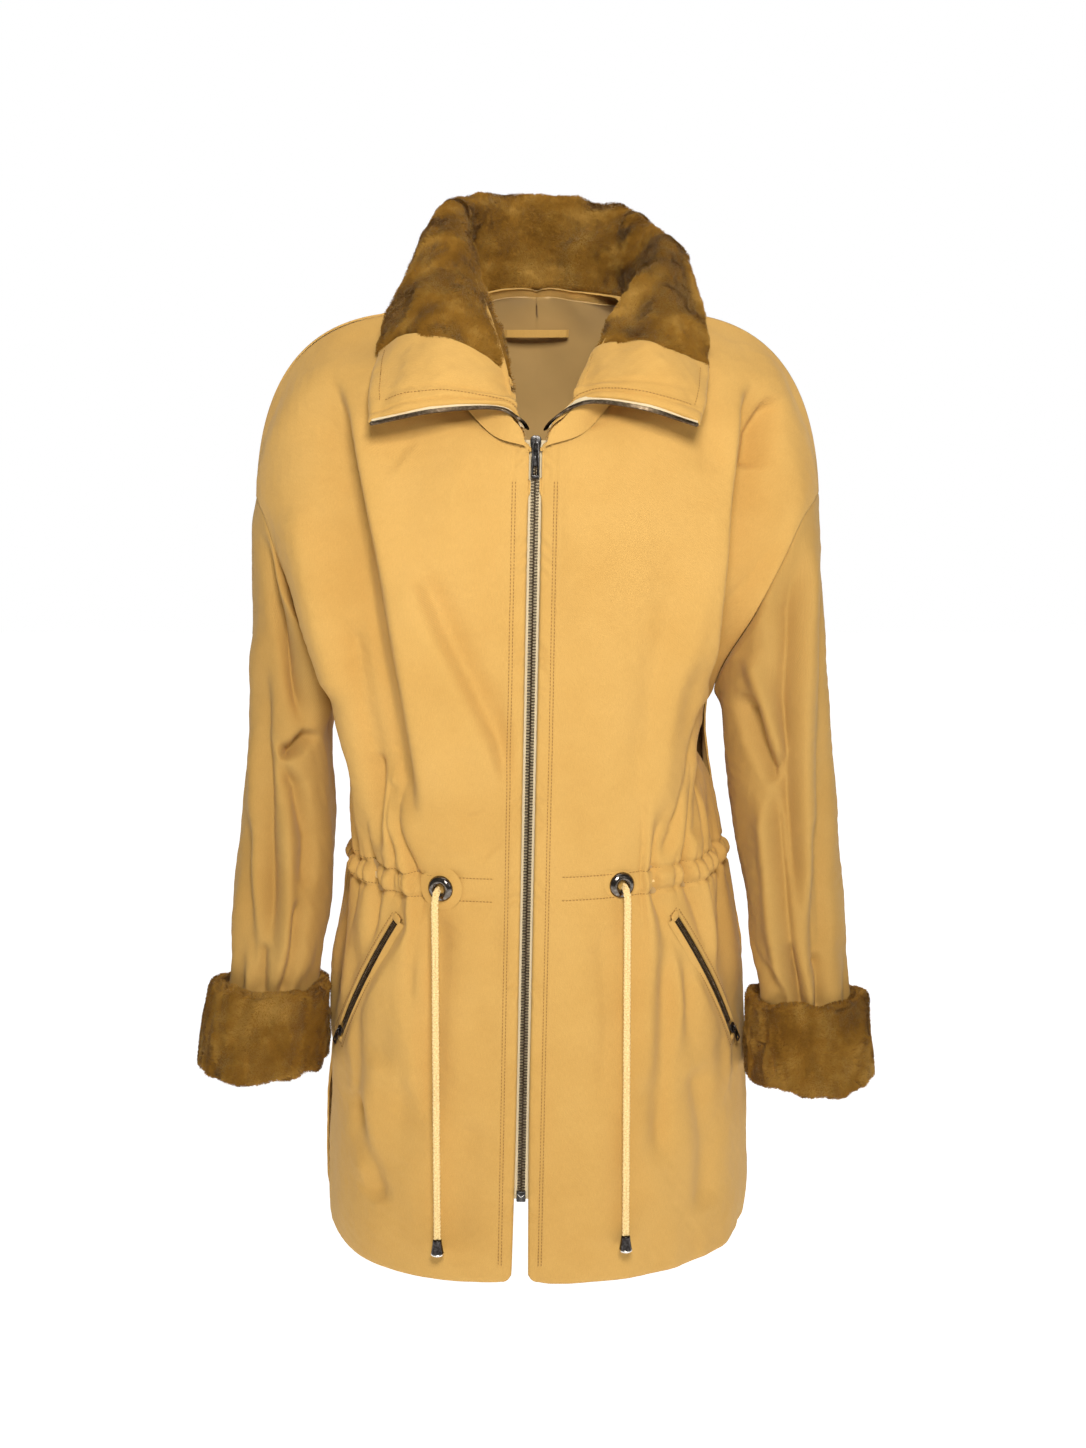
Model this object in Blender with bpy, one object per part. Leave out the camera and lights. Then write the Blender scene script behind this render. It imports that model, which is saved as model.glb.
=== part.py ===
"""Zip-front jacket with a plush collar and turned-back plush cuffs, hanging from its neck.

Metres, +Z up.  The wearer faces -Y and the wearer's left side is +X.  The origin is the
middle of the neck opening, where a form or a hanger carries the jacket.  Every fabric
piece is a sheet read from a smooth surface through a few rows of control points, and
Solidify gives it its thickness on the inner side.
"""
import math

import bmesh
import bpy
import numpy as np
from mathutils import Matrix, Vector

# ---------------------------------------------------------------- driving dimensions
CLOTH = 0.0015                # outer fabric, with its interlining
LINING = 0.0008
LINING_DEPTH = 0.0095         # from the outer face of the shell to the lining
GAP = 0.0003                  # least gap between neighbouring pieces
SLEEVE_SEAM_GAP = 0.0060      # between the armhole and the sleeve's first ring
PLUSH = 0.0045                # pile and backing
COLLAR_CLOTH = 0.0010         # outer fabric of the collar

ZIP_TOP = Vector((0.0, -0.1165, -0.092))
ZIP_END = Vector((-0.0140, -0.1662, -0.776))
TOOTH_HALF_WIDTH = 0.0034
TAPE_WIDTH = 0.010

EYELET_RADIUS = 0.0105
EYELET_BORE = 0.0042
CORD_DIAMETER = 0.0062
WAIST_ROW = 4                 # the row of each panel that the drawcord follows
PANEL_HEIGHT = 1.0            # rough length of a panel's v line, hem to shoulder

# Rows of a front panel, hem to shoulder.  Each row runs from the front edge or the
# neckline to the side seam or the armhole, as a Bezier curve of four points, in |x|, y, z.
FRONT_LEFT_ROWS = [
    [(.0075, -.1700, -.858), (.115, -.176, -.862), (.206, -.110, -.866), (.208, .005, -.866)],
    [(.0056, -.1607, -.700), (.115, -.166, -.702), (.196, -.105, -.702), (.199, .003, -.702)],
    [(.0056, -.1520, -.580), (.110, -.158, -.582), (.187, -.098, -.582), (.189, .000, -.582)],
    [(.0056, -.1478, -.522), (.105, -.152, -.525), (.179, -.094, -.525), (.180, .000, -.525)],
    [(.0056, -.1452, -.486), (.100, -.149, -.490), (.172, -.092, -.491), (.174, .000, -.491)],
    [(.0056, -.1419, -.440), (.102, -.150, -.442), (.170, -.098, -.444), (.168, -.003, -.446)],
    [(.0056, -.1338, -.330), (.102, -.152, -.332), (.178, -.100, -.334), (.166, -.004, -.336)],
    [(.0056, -.1274, -.242), (.100, -.148, -.242), (.175, -.118, -.246), (.200, -.052, -.256)],
    [(.0056, -.1213, -.158), (.090, -.136, -.152), (.182, -.108, -.168), (.224, -.055, -.207)],
    [(.0056, -.1170, -.100), (.085, -.120, -.088), (.196, -.094, -.100), (.241, -.045, -.172)],
    [(.0420, -.1100, -.087), (.105, -.106, -.066), (.215, -.074, -.062), (.251, -.031, -.160)],
    [(.0790, -.0730, -.042), (.128, -.070, -.030), (.238, -.046, -.022), (.257, -.016, -.154)],
    [(.0875, .0040, .009), (.150, .003, .012), (.250, .000, .010), (.260, .000, -.152)],
]
FRONT_RIGHT_ROWS = [
    [(.0075, -.1700, -.858), (.115, -.176, -.860), (.206, -.110, -.863), (.208, .005, -.863)],
    [(.0056, -.1607, -.700), (.115, -.166, -.702), (.196, -.105, -.702), (.199, .003, -.702)],
    [(.0056, -.1520, -.580), (.110, -.158, -.582), (.187, -.098, -.582), (.189, .000, -.582)],
    [(.0056, -.1478, -.522), (.105, -.152, -.527), (.178, -.094, -.530), (.179, .000, -.531)],
    [(.0056, -.1452, -.486), (.100, -.150, -.492), (.172, -.094, -.497), (.173, .000, -.498)],
    [(.0056, -.1419, -.440), (.105, -.152, -.444), (.190, -.108, -.450), (.166, -.004, -.452)],
    [(.0056, -.1338, -.330), (.105, -.154, -.334), (.244, -.118, -.340), (.168, -.002, -.352)],
    [(.0056, -.1274, -.242), (.102, -.150, -.242), (.238, -.128, -.246), (.206, -.040, -.270)],
    [(.0056, -.1213, -.158), (.090, -.136, -.152), (.215, -.112, -.165), (.232, -.046, -.214)],
    [(.0056, -.1170, -.100), (.085, -.120, -.088), (.205, -.094, -.100), (.244, -.040, -.178)],
    [(.0420, -.1100, -.087), (.105, -.106, -.066), (.218, -.074, -.062), (.251, -.029, -.164)],
    [(.0790, -.0730, -.042), (.128, -.070, -.030), (.238, -.046, -.022), (.256, -.015, -.157)],
    [(.0875, .0040, .009), (.150, .003, .010), (.250, .000, .006), (.258, .000, -.155)],
]
# Rows of one half of the back panel, from the centre-back line to the same outer edges.
BACK_INNER_ROWS = [
    [(.0, .1350, -.870), (.112, .135, -.870), (.206, .100, -.868)],
    [(.0, .1310, -.702), (.110, .131, -.702), (.198, .098, -.702)],
    [(.0, .1180, -.582), (.108, .118, -.582), (.188, .086, -.582)],
    [(.0, .1020, -.525), (.102, .103, -.525), (.180, .076, -.525)],
    [(.0, .0940, -.490), (.098, .096, -.490), (.173, .072, -.491)],
    [(.0, .0980, -.445), (.100, .101, -.445), (.168, .078, -.446)],
    [(.0, .1120, -.334), (.104, .116, -.334), (.172, .088, -.336)],
    [(.0, .1190, -.240), (.102, .124, -.240), (.180, .112, -.248)],
    [(.0, .1160, -.150), (.098, .121, -.148), (.188, .112, -.168)],
    [(.0, .1020, -.065), (.092, .106, -.062), (.204, .096, -.085)],
    [(.0, .0660, .027), (.105, .072, -.002), (.232, .058, -.026)],
    [(.0560, .0480, .024), (.125, .044, .004), (.242, .032, -.004)],
    [(.0875, .0040, .009), (.150, .003, .012), (.250, .000, .010)],
]
UNDERARM_ROW = 6
# The armhole's back edge, from above the underarm to below the shoulder tip.
BACK_ARMHOLE = [(.200, .054, -.256), (.225, .060, -.207), (.242, .050, -.172),
                (.251, .034, -.160), (.257, .018, -.154)]

# Rings of a sleeve below the armhole: centre |x|, y, z, half width, half depth, and how
# much lower the inner side of the ring is than its outer side.
SLEEVE_LEFT_RINGS = [
    (.2225, -.004, -.318, .0465, .062, .090),
    (.2275, -.012, -.405, .0470, .060, .060),
    (.2360, -.022, -.490, .0455, .056, .040),
    (.2460, -.036, -.570, .0445, .050, .020),
    (.2530, -.044, -.628, .0395, .0425, .006),
    (.2585, -.050, -.694, .0400, .0420, .004),
]
SLEEVE_RIGHT_RINGS = [
    (.2290, .014, -.322, .0365, .055, .080),
    (.2320, .006, -.408, .0390, .055, .060),
    (.2365, -.010, -.485, .0420, .054, .040),
    (.2440, -.030, -.558, .0440, .049, .020),
    (.2490, -.042, -.616, .0385, .0420, .008),
    (.2590, -.050, -.682, .0400, .0420, .008),
]
# Collar stations, from the wearer's right front edge round the neck to the left front
# edge.  Each is five points from the neck seam over the roll to the collar's top edge.
COLLAR_STATIONS = [
    [(-.0060, -.1180, -.1000), (-.0135, -.1200, -.0780), (-.0310, -.1270, -.0653),
     (-.0850, -.1390, -.0655), (-.1440, -.1340, -.0774)],
    [(-.0400, -.1100, -.0880), (-.0300, -.1120, -.0700), (-.0207, -.1080, -.0540),
     (-.0830, -.1250, -.0380), (-.1455, -.1050, -.0560)],
    [(-.0780, -.0780, -.0450), (-.0560, -.0780, -.0230), (-.0335, -.0700, .0000),
     (-.0900, -.0900, .0020), (-.1420, -.0550, -.0210)],
    [(-.0870, -.0180, -.0010), (-.0710, -.0220, .0280), (-.0516, -.0300, .0530),
     (-.0930, -.0420, .0480), (-.1310, -.0180, .0190)],
    [(-.0800, .0300, .0180), (-.0720, .0300, .0550), (-.0640, .0220, .0950),
     (-.0880, .0200, .0960), (-.1100, .0140, .0620)],
    [(-.0500, .0560, .0270), (-.0520, .0640, .0620), (-.0500, .0700, .0990),
     (-.0600, .0830, .1110), (-.0720, .0980, .1040)],
    [(.0000, .0660, .0290), (.0000, .0750, .0600), (.0000, .0830, .0920),
     (.0000, .0940, .1100), (.0000, .1080, .1120)],
    [(.0500, .0560, .0270), (.0570, .0620, .0550), (.0640, .0660, .0800),
     (.0700, .0710, .0970), (.0770, .0800, .1060)],
    [(.0800, .0300, .0180), (.0850, .0300, .0450), (.0920, .0270, .0660),
     (.1010, .0250, .0800), (.1120, .0200, .0810)],
    [(.0870, -.0180, -.0010), (.0910, -.0130, .0330), (.0985, -.0060, .0620),
     (.1160, -.0150, .0720), (.1380, -.0140, .0500)],
    [(.0780, -.0780, -.0450), (.0780, -.0640, -.0100), (.0730, -.0550, .0140),
     (.1150, -.0760, .0100), (.1515, -.0500, -.0040)],
    [(.0420, -.1100, -.0870), (.0440, -.1080, -.0620), (.0410, -.1010, -.0400),
     (.0950, -.1260, -.0330), (.1510, -.0980, -.0500)],
    [(.0060, -.1180, -.1000), (.0150, -.1200, -.0780), (.0420, -.1260, -.0595),
     (.0920, -.1390, -.0635), (.1414, -.1340, -.0790)],
]
STATION_COUNT = len(COLLAR_STATIONS)
WING_STATIONS = 3.3           # how many stations from each front edge turn over
STAND_TOP_V = 0.34            # the collar stands up to here, as a share of its height
WING_LOW_V = 0.60             # and its wing starts here, past the crest of the roll
FACING_STATIONS = 0.85        # the plain facing beside the zip edge of the collar

# The line that each collar wing turns about, top to bottom.
WING_AXES = {
    "right": (Vector((-.0430, .0100, .1120)), Vector((-.0060, -.1220, -.0660))),
    "left": (Vector((.0900, .0020, .0760)), Vector((.0100, -.1200, -.0640))),
}
SLEEVE_PIVOTS = {"right": Vector((-.2600, .0, -.150)), "left": Vector((.2620, .0, -.147))}

# Turned-back cuffs: centre of the top and bottom rim in |x|, y, z, and their half widths.
CUFFS = {
    "right": ((.2500, -.043, -.610), (.2620, -.050, -.690), .0520, .0580),
    "left": ((.2530, -.044, -.622), (.2600, -.051, -.702), .0520, .0580),
}
CUFF_THICKNESS = 0.0105

# Pocket zips: top, middle and bottom in |x| and z, on the surface of the front panel.
POCKET_POINTS = [(.1280, -.530), (.1600, -.592), (.1850, -.6585)]
POCKET_SLOT_HALF = 0.0036

# Drawcords: steps from the eyelet's place, first along its axis, then |x|, y and z.
CORD_ROUTE = [(.0052, 0, 0, 0), (.0095, 0, 0, -.001), (.0135, 0, 0, -.006),
              (.0150, 0, 0, -.015), (.0150, 0, -.001, -.030), (.0150, 0, -.003, -.060),
              (.0150, 0, -.007, -.110), (.0150, 0, -.012, -.170), (.0150, 0, -.017, -.230),
              (.0150, 0, -.021, -.290), (.0150, 0, -.0225, -.322)]
EYELET_PLACES = {"right": (.0850, -.4925), "left": (.0760, -.4900)}

TWILL = (0.76, 0.47, 0.17)
PLUSH_COLOUR = (0.42, 0.22, 0.06)
LINING_COLOUR = (0.62, 0.40, 0.16)
METAL = (0.07, 0.06, 0.05)
TAPE_COLOUR = (0.72, 0.55, 0.30)
CORD_COLOUR = (0.80, 0.58, 0.24)


# ---------------------------------------------------------------- scene helpers
def clear_scene():
    for thing in list(bpy.data.objects):
        bpy.data.objects.remove(thing, do_unlink=True)


def material(name, colour, roughness, metallic=0.0):
    made = bpy.data.materials.new(name)
    made.use_nodes = True
    shader = made.node_tree.nodes["Principled BSDF"]
    shader.inputs["Base Color"].default_value = (*colour, 1.0)
    shader.inputs["Roughness"].default_value = roughness
    shader.inputs["Metallic"].default_value = metallic
    return made


def add_object(name, mesh, look):
    """Put a mesh in the scene under its node's name, with its own material."""
    thing = bpy.data.objects.new(name, mesh)
    colour, roughness, metallic = look
    mesh.materials.clear()
    mesh.materials.append(material(name + "_look", colour, roughness, metallic))
    bpy.context.scene.collection.objects.link(thing)
    return thing


def set_origin(thing, place):
    """Move the object's origin to a world place and leave its shape where it is."""
    thing.data.transform(Matrix.Translation(-Vector(place)))
    thing.location = place


FABRIC = (TWILL, 0.85, 0.0)
PILE = (PLUSH_COLOUR, 0.95, 0.0)
SATIN = (LINING_COLOUR, 0.5, 0.0)
DARK_METAL = (METAL, 0.3, 1.0)
TAPE = (TAPE_COLOUR, 0.85, 0.0)
BRAID = (CORD_COLOUR, 0.8, 0.0)


# ---------------------------------------------------------------- smooth surfaces
def through(values, knots, t):
    """Smooth curve through the values, one at each knot, read at every t."""
    t = np.clip(np.asarray(t, float), knots[0], knots[-1])
    span = np.clip(np.searchsorted(knots, t, side="right") - 1, 0, len(knots) - 2)
    width = knots[span + 1] - knots[span]
    f = (t - knots[span]) / width
    slopes = np.gradient(values, knots, axis=0)
    extra = (1,) * (values.ndim - 1)
    f = f.reshape(f.shape + extra)
    width = width.reshape(width.shape + extra)
    near, far = values[span], values[span + 1]
    return (near * (1 + 2 * f) * (1 - f) ** 2 + slopes[span] * width * f * (1 - f) ** 2
            + far * f * f * (3 - 2 * f) - slopes[span + 1] * width * f * f * (1 - f))


def row_knots(rows):
    """Knots that follow the distance between the rows, from 0 to 1."""
    steps = np.linalg.norm(np.diff(rows, axis=0), axis=2).mean(axis=1)
    return np.concatenate([[0.0], np.cumsum(steps)]) / steps.sum()


def bezier(points, u):
    """Point at u on the Bezier curves of four points."""
    u = np.asarray(u, float)[..., None]
    return (points[..., 0, :] * (1 - u) ** 3 + 3 * points[..., 1, :] * u * (1 - u) ** 2
            + 3 * points[..., 2, :] * u * u * (1 - u) + points[..., 3, :] * u ** 3)


class Panel:
    """A body panel: u runs from the centre line to the side, v from the hem up."""

    def __init__(self, rows, side):
        self.rows = np.array(rows, float)
        self.rows[:, :, 0] *= side
        self.rows[:, :2, 0] += zip_lean(self.rows[:, :2, 2], self.rows[:, :2, 1])
        self.knots = row_knots(self.rows)
        self.side = side

    def __call__(self, u, v):
        return bezier(through(self.rows, self.knots, v), u)

    def v_of_row(self, row):
        return self.knots[row]


def zip_lean(z, y):
    """The sideways lean of the centre front: the zip ends a little to the right."""
    share = np.clip((ZIP_TOP.z - z) / (ZIP_TOP.z - ZIP_END.z), 0.0, 1.1)
    return np.where(y < 0, ZIP_END.x * share, 0.0)


def normals(surface, u, v, step=1e-3):
    """Unit normals of a surface, along its u direction turned towards v."""
    along = surface(u + step, v) - surface(u - step, v)
    up = surface(u, v + step) - surface(u, v - step)
    cross = np.cross(along, up)
    return cross / np.maximum(np.linalg.norm(cross, axis=-1, keepdims=True), 1e-12)


def grid(u_values, v_values):
    return np.meshgrid(np.asarray(u_values, float), np.asarray(v_values, float))


def sheet(name, points, thickness, look, outward, wrap=False, parted=None):
    """A fabric piece: a grid of points, thickened away from its outward side.

    outward is +1 where the grid's own normals (columns turned towards rows) face out.
    parted is (row, column) where the sheet is open between that column and the next,
    from that row up.
    """
    rows, columns = points.shape[:2]
    mesh = bpy.data.meshes.new(name)
    work = bmesh.new()
    verts = [[work.verts.new(points[r, c]) for c in range(columns)] for r in range(rows)]
    last = columns if wrap else columns - 1
    for r in range(rows - 1):
        for c in range(last):
            if parted and r >= parted[0] and c == parted[1]:
                continue
            d = (c + 1) % columns
            corners = [verts[r][c], verts[r][d], verts[r + 1][d], verts[r + 1][c]]
            work.faces.new(corners if outward > 0 else corners[::-1])
    for face in work.faces:
        face.smooth = True
    work.to_mesh(mesh)
    work.free()
    thing = add_object(name, mesh, look)
    solid = thing.modifiers.new("thickness", "SOLIDIFY")
    solid.thickness = thickness
    solid.offset = -1
    return thing


def surface_sheet(name, surface, u_values, v_values, depth, thickness, look, outward,
                  wrap=False, parted=None):
    """A sheet read from a surface, its outer face depth below that surface."""
    u, v = grid(u_values, v_values)
    points = surface(u, v) - normals(surface, u, v) * depth * outward
    return sheet(name, points, thickness, look, outward, wrap, parted)


def cut(thing, cutter):
    """Take the cutter's shape out of the object."""
    cutter.hide_render = True
    cutter.display_type = "WIRE"
    boolean = thing.modifiers.new("cut_" + cutter.name, "BOOLEAN")
    boolean.operation = "DIFFERENCE"
    boolean.solver = "EXACT"
    boolean.object = cutter


# ---------------------------------------------------------------- panels
def back_rows(front_rows):
    """Half of the back, whose outer edge meets the front's side seam and armhole."""
    rows = []
    for index, inner in enumerate(BACK_INNER_ROWS):
        if UNDERARM_ROW < index < len(BACK_INNER_ROWS) - 1:
            edge = BACK_ARMHOLE[index - UNDERARM_ROW - 1]
        else:
            edge = front_rows[index][3]
        rows.append(list(inner) + [edge])
    return rows


FRONTS = {"left": Panel(FRONT_LEFT_ROWS, 1), "right": Panel(FRONT_RIGHT_ROWS, -1)}
BACKS = {"left": Panel(back_rows(FRONT_LEFT_ROWS), 1),
         "right": Panel(back_rows(FRONT_RIGHT_ROWS), -1)}


LEAST_SPREAD = 0.15           # keeps each half of the back on its own side of the centre


def whole_back(u, v):
    """The back as one surface: u from -1 at the right side to 1 at the left side."""
    left = BACKS["left"](np.abs(u), v)
    right = BACKS["right"](np.abs(u), v)
    left[..., 0] = np.maximum(left[..., 0], np.abs(u) * LEAST_SPREAD)
    right[..., 0] = np.minimum(right[..., 0], -np.abs(u) * LEAST_SPREAD)
    return np.where((u >= 0)[..., None], left, right)


SIDES = {"left": 1, "right": -1}
EDGE_U = 0.994                # panels stop short of the side seam by about half a gap
TOP_V = 0.9965                # and of the shoulder seam


def even(start, stop, count):
    return np.linspace(start, stop, count)


def panel_rows(panel, per_span, first=0.0, last=1.0):
    """v values with the same number of steps between each two of the panel's rows."""
    steps = []
    for low, high in zip(panel.knots[:-1], panel.knots[1:]):
        steps.extend(np.linspace(low, high, per_span, endpoint=False))
    steps.append(1.0)
    inside = [v for v in steps if first < v < last]
    return np.array([first] + inside + [last])


NECK_ROW = 10                 # above this row the back is open at its centre, for the neck
CENTRE_U = 0.0015             # half the strip that joins the back's two halves below it
BACK_HALF_U = np.array([CENTRE_U, *even(0.0, EDGE_U, 12)[1:]])
BACK_U = np.concatenate([-BACK_HALF_U[::-1], BACK_HALF_U])
NECK_PARTING = (NECK_ROW, len(BACK_HALF_U) - 1)


def build_panels():
    shells = {}
    for side, sign in SIDES.items():
        front = FRONTS[side]
        u_values = even(0.0, EDGE_U, 12)
        v_values = panel_rows(front, 1, 0.0, TOP_V)
        shells[side] = surface_sheet("front_" + side, front, u_values, v_values, 0.0,
                                     CLOTH, FABRIC, sign)
        lining_rows = panel_rows(front, 1, 0.03, 0.975)
        surface_sheet("lining_front_" + side, front, [*u_values[2:-1], 0.965], lining_rows,
                      LINING_DEPTH, LINING, SATIN, sign)
    rows = panel_rows(BACKS["left"], 1, 0.0, TOP_V)
    surface_sheet("back_panel", whole_back, BACK_U, rows, 0.0, CLOTH, FABRIC, -1,
                  parted=NECK_PARTING)
    surface_sheet("lining_back", whole_back, [-0.965, *BACK_U[1:-1], 0.965],
                  panel_rows(BACKS["left"], 1, 0.03, 0.975), LINING_DEPTH, LINING,
                  SATIN, -1, parted=NECK_PARTING)
    return shells


# ---------------------------------------------------------------- sleeves
class Sleeve:
    """u goes once round the arm from the shoulder tip over the front, v to the wrist."""

    def __init__(self, side):
        self.sign = SIDES[side]
        self.front = FRONTS[side]
        self.back = BACKS[side]
        self.rings = SLEEVE_LEFT_RINGS if side == "left" else SLEEVE_RIGHT_RINGS

    def armhole(self, u):
        """The armhole seam, read along the panels' outer edges."""
        low = self.front.v_of_row(UNDERARM_ROW)
        low_back = self.back.v_of_row(UNDERARM_ROW)
        u = np.asarray(u, float) % 1.0
        down = np.minimum(u, 0.5) * 2
        up = np.maximum(u - 0.5, 0.0) * 2
        ones = np.ones_like(u)
        front = self.front(ones, 1 - down * (1 - low))
        back = self.back(ones, low_back + up * (1 - low_back))
        return np.where((u < 0.5)[..., None], front, back)

    def below_seam(self, around, share):
        """u and v grids whose first row keeps the seam gap to the armhole all the way."""
        first = self.ring(self.rings[0], around)
        reach = np.linalg.norm(first - self.armhole(around), axis=-1)
        start = SLEEVE_SEAM_GAP / reach * self.knots()[1]
        u, w = grid(around, share)
        return u, start + (0.99 - start) * w

    def knots(self):
        """Knots of the armhole and the rings, from 0 to 1 down the sleeve."""
        heights = np.array([0.0] + [-ring[2] for ring in self.rings])
        heights[0] = heights[1] - 0.09
        return (heights - heights[0]) / (heights[-1] - heights[0])

    def ring(self, values, u):
        x, y, z, half_width, half_depth, drop = values
        turn = 2 * np.pi * np.asarray(u, float)
        outward = np.cos(turn)
        return np.stack([self.sign * (x + half_width * outward), y - half_depth * np.sin(turn),
                         z + drop * outward / 2], axis=-1)

    def __call__(self, u, v):
        u, v = np.asarray(u, float), np.asarray(v, float)
        loops = [self.armhole(u)] + [self.ring(values, u) for values in self.rings]
        stack = np.stack(loops)
        knots = self.knots()
        flat = stack.reshape(len(loops), -1, 3)
        v_flat = np.broadcast_to(v, u.shape).reshape(-1)
        result = np.empty((flat.shape[1], 3))
        for place in range(flat.shape[1]):
            result[place] = through(flat[:, place], knots, v_flat[place:place + 1])[0]
        return result.reshape(u.shape + (3,))


SLEEVES = {side: Sleeve(side) for side in SIDES}


def build_sleeves():
    around = even(0, 1, 17)[:-1]
    for side, sign in SIDES.items():
        sleeve = SLEEVES[side]
        u, v = sleeve.below_seam(around, even(0, 1, 11))
        shell = sheet("sleeve_" + side, sleeve(u, v), CLOTH, FABRIC, sign, wrap=True)
        lining = surface_sheet("lining_sleeve_" + side, sleeve, around, even(0.20, 0.93, 7),
                               0.006, LINING, SATIN, sign, wrap=True)
        for thing in (shell, lining, build_cuff(side, sign)):
            set_origin(thing, SLEEVE_PIVOTS[side])


def build_cuff(side, sign):
    """The plush cuff, turned back over the wrist: a soft ring with rounded edges."""
    top, bottom, top_half, bottom_half = CUFFS[side]
    profile_turns = 10
    around = 20
    half = CUFF_THICKNESS / 2
    points = np.empty((profile_turns, around, 3))
    for p in range(profile_turns):
        turn = 2 * math.pi * p / profile_turns
        height = 0.5 - 0.5 * math.copysign(abs(math.cos(turn)) ** 0.6, math.cos(turn))
        proud = half * math.copysign(abs(math.sin(turn)) ** 0.8, math.sin(turn)) - half
        for a in range(around):
            angle = 2 * math.pi * a / around
            middle = [t + (b - t) * height for t, b in zip(top, bottom)]
            reach = top_half + (bottom_half - top_half) * height + proud
            points[p, a] = (sign * (middle[0] + reach * math.cos(angle)),
                            middle[1] - (reach + 0.003) * math.sin(angle), middle[2])
    mesh = bpy.data.meshes.new("cuff_plush_" + side)
    work = bmesh.new()
    verts = [[work.verts.new(points[p, a]) for a in range(around)]
             for p in range(profile_turns)]
    for p in range(profile_turns):
        for a in range(around):
            q, b = (p + 1) % profile_turns, (a + 1) % around
            work.faces.new([verts[p][a], verts[p][b], verts[q][b], verts[q][a]])
    bmesh.ops.recalc_face_normals(work, faces=work.faces)
    for face in work.faces:
        face.smooth = True
    work.to_mesh(mesh)
    work.free()
    return add_object("cuff_plush_" + side, mesh, PILE)


# ---------------------------------------------------------------- collar
COLLAR_POINTS = np.array(COLLAR_STATIONS, float)


def collar(u, v):
    """The collar's plush face: u counts stations, v runs from the neck seam to the top."""
    u, v = np.broadcast_arrays(np.asarray(u, float), np.asarray(v, float))
    stations = np.arange(STATION_COUNT, dtype=float)
    across = through(COLLAR_POINTS, stations, u.reshape(-1))
    heights = even(0, 1, 5)
    flat = v.reshape(-1)
    result = np.empty((flat.size, 3))
    for place in range(flat.size):
        result[place] = through(across[place], heights, flat[place:place + 1])[0]
    return result.reshape(u.shape + (3,))


def collar_layer(name, u_values, v_values, depth, thickness, look):
    return surface_sheet(name, collar, u_values, v_values, depth, thickness, look, 1)


def build_collar():
    last = STATION_COUNT - 1
    shell_depth = PLUSH + 7 * GAP
    back = even(WING_STATIONS + 0.12, last - WING_STATIONS - 0.12, 15)
    heights = even(0.03, 1, 9)
    collar_layer("collar_back_shell", back, heights, shell_depth, COLLAR_CLOTH, FABRIC)
    collar_layer("collar_back_plush", back, heights[1:-1], 0.0, PLUSH - GAP, PILE)
    stand_heights = even(0.06, STAND_TOP_V, 4)
    wing_heights = even(WING_LOW_V, 1, 6)
    for side in SIDES:
        place = (lambda k: last - k) if side == "left" else (lambda k: k)

        def run(start, stop, count):
            return np.sort([place(k) for k in even(start, stop, count)])

        wing_end = WING_STATIONS - 0.06
        stand_run = run(0.20, wing_end, 10)
        inner = stand_run[:-1] if side == "left" else stand_run[1:]
        collar_layer("collar_stand_shell_" + side, stand_run, stand_heights, shell_depth,
                     COLLAR_CLOTH, FABRIC)
        collar_layer("collar_stand_plush_" + side, inner, stand_heights[1:], 0.0, PLUSH, PILE)
        plush_run = run(FACING_STATIONS, wing_end, 8)
        facing_run = run(0.03, FACING_STATIONS - 0.03, 3)
        shell_run = np.sort(np.concatenate([facing_run[:-1] if side == "right"
                                            else facing_run[1:], plush_run]))
        wing = [
            collar_layer("collar_wing_shell_" + side, shell_run, wing_heights, shell_depth,
                         COLLAR_CLOTH, FABRIC),
            collar_layer("collar_wing_plush_" + side, plush_run, wing_heights[:-1], 0.0,
                         PLUSH, PILE),
            collar_layer("collar_wing_facing_" + side, facing_run, wing_heights[:-1], 0.0015,
                         COLLAR_CLOTH, FABRIC),
            collar_zip("collar_zip_wing_" + side, place(0), place(0.1), WING_LOW_V, 0.985, 10),
        ]
        collar_zip("collar_zip_stand_" + side, place(0), place(0.1), 0.17, STAND_TOP_V, 5)
        for thing in wing:
            set_origin(thing, WING_AXES[side][0])


def collar_zip(name, edge, inner, low, high, count):
    """One half of the upper zip, sewn along the collar's front edge: tape and teeth."""
    heights = even(low, high, count)
    rim = collar(np.full(count, float(edge)), heights)
    inside = collar(np.full(count, float(inner)), heights)
    outward = rim - inside
    outward /= np.linalg.norm(outward, axis=1, keepdims=True)
    points = np.stack([rim + outward * 0.0008, rim + outward * 0.0048])
    normal = normals(collar, np.full(count, (edge + inner) / 2), heights)
    points = points - normal * 0.0005
    return sheet(name, points, 0.0022, DARK_METAL, 1 if inner > edge else -1)


# ---------------------------------------------------------------- straight zip parts
def zip_frame():
    """Axes of the main zip: across (to +X), out of the chest, and down the teeth."""
    down = (ZIP_END - ZIP_TOP).normalized()
    out = Vector((0, -1, 0))
    out = (out - down * out.dot(down)).normalized()
    across = down.cross(out)
    if across.x < 0:
        across = -across
    return across, out, down


ACROSS, OUT, DOWN = zip_frame()
ZIP_LENGTH = (ZIP_END - ZIP_TOP).length


def zip_point(across, out, down):
    """World place of a point given in the main zip's own axes, from its top."""
    return ZIP_TOP + ACROSS * across + OUT * out + DOWN * down


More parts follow.
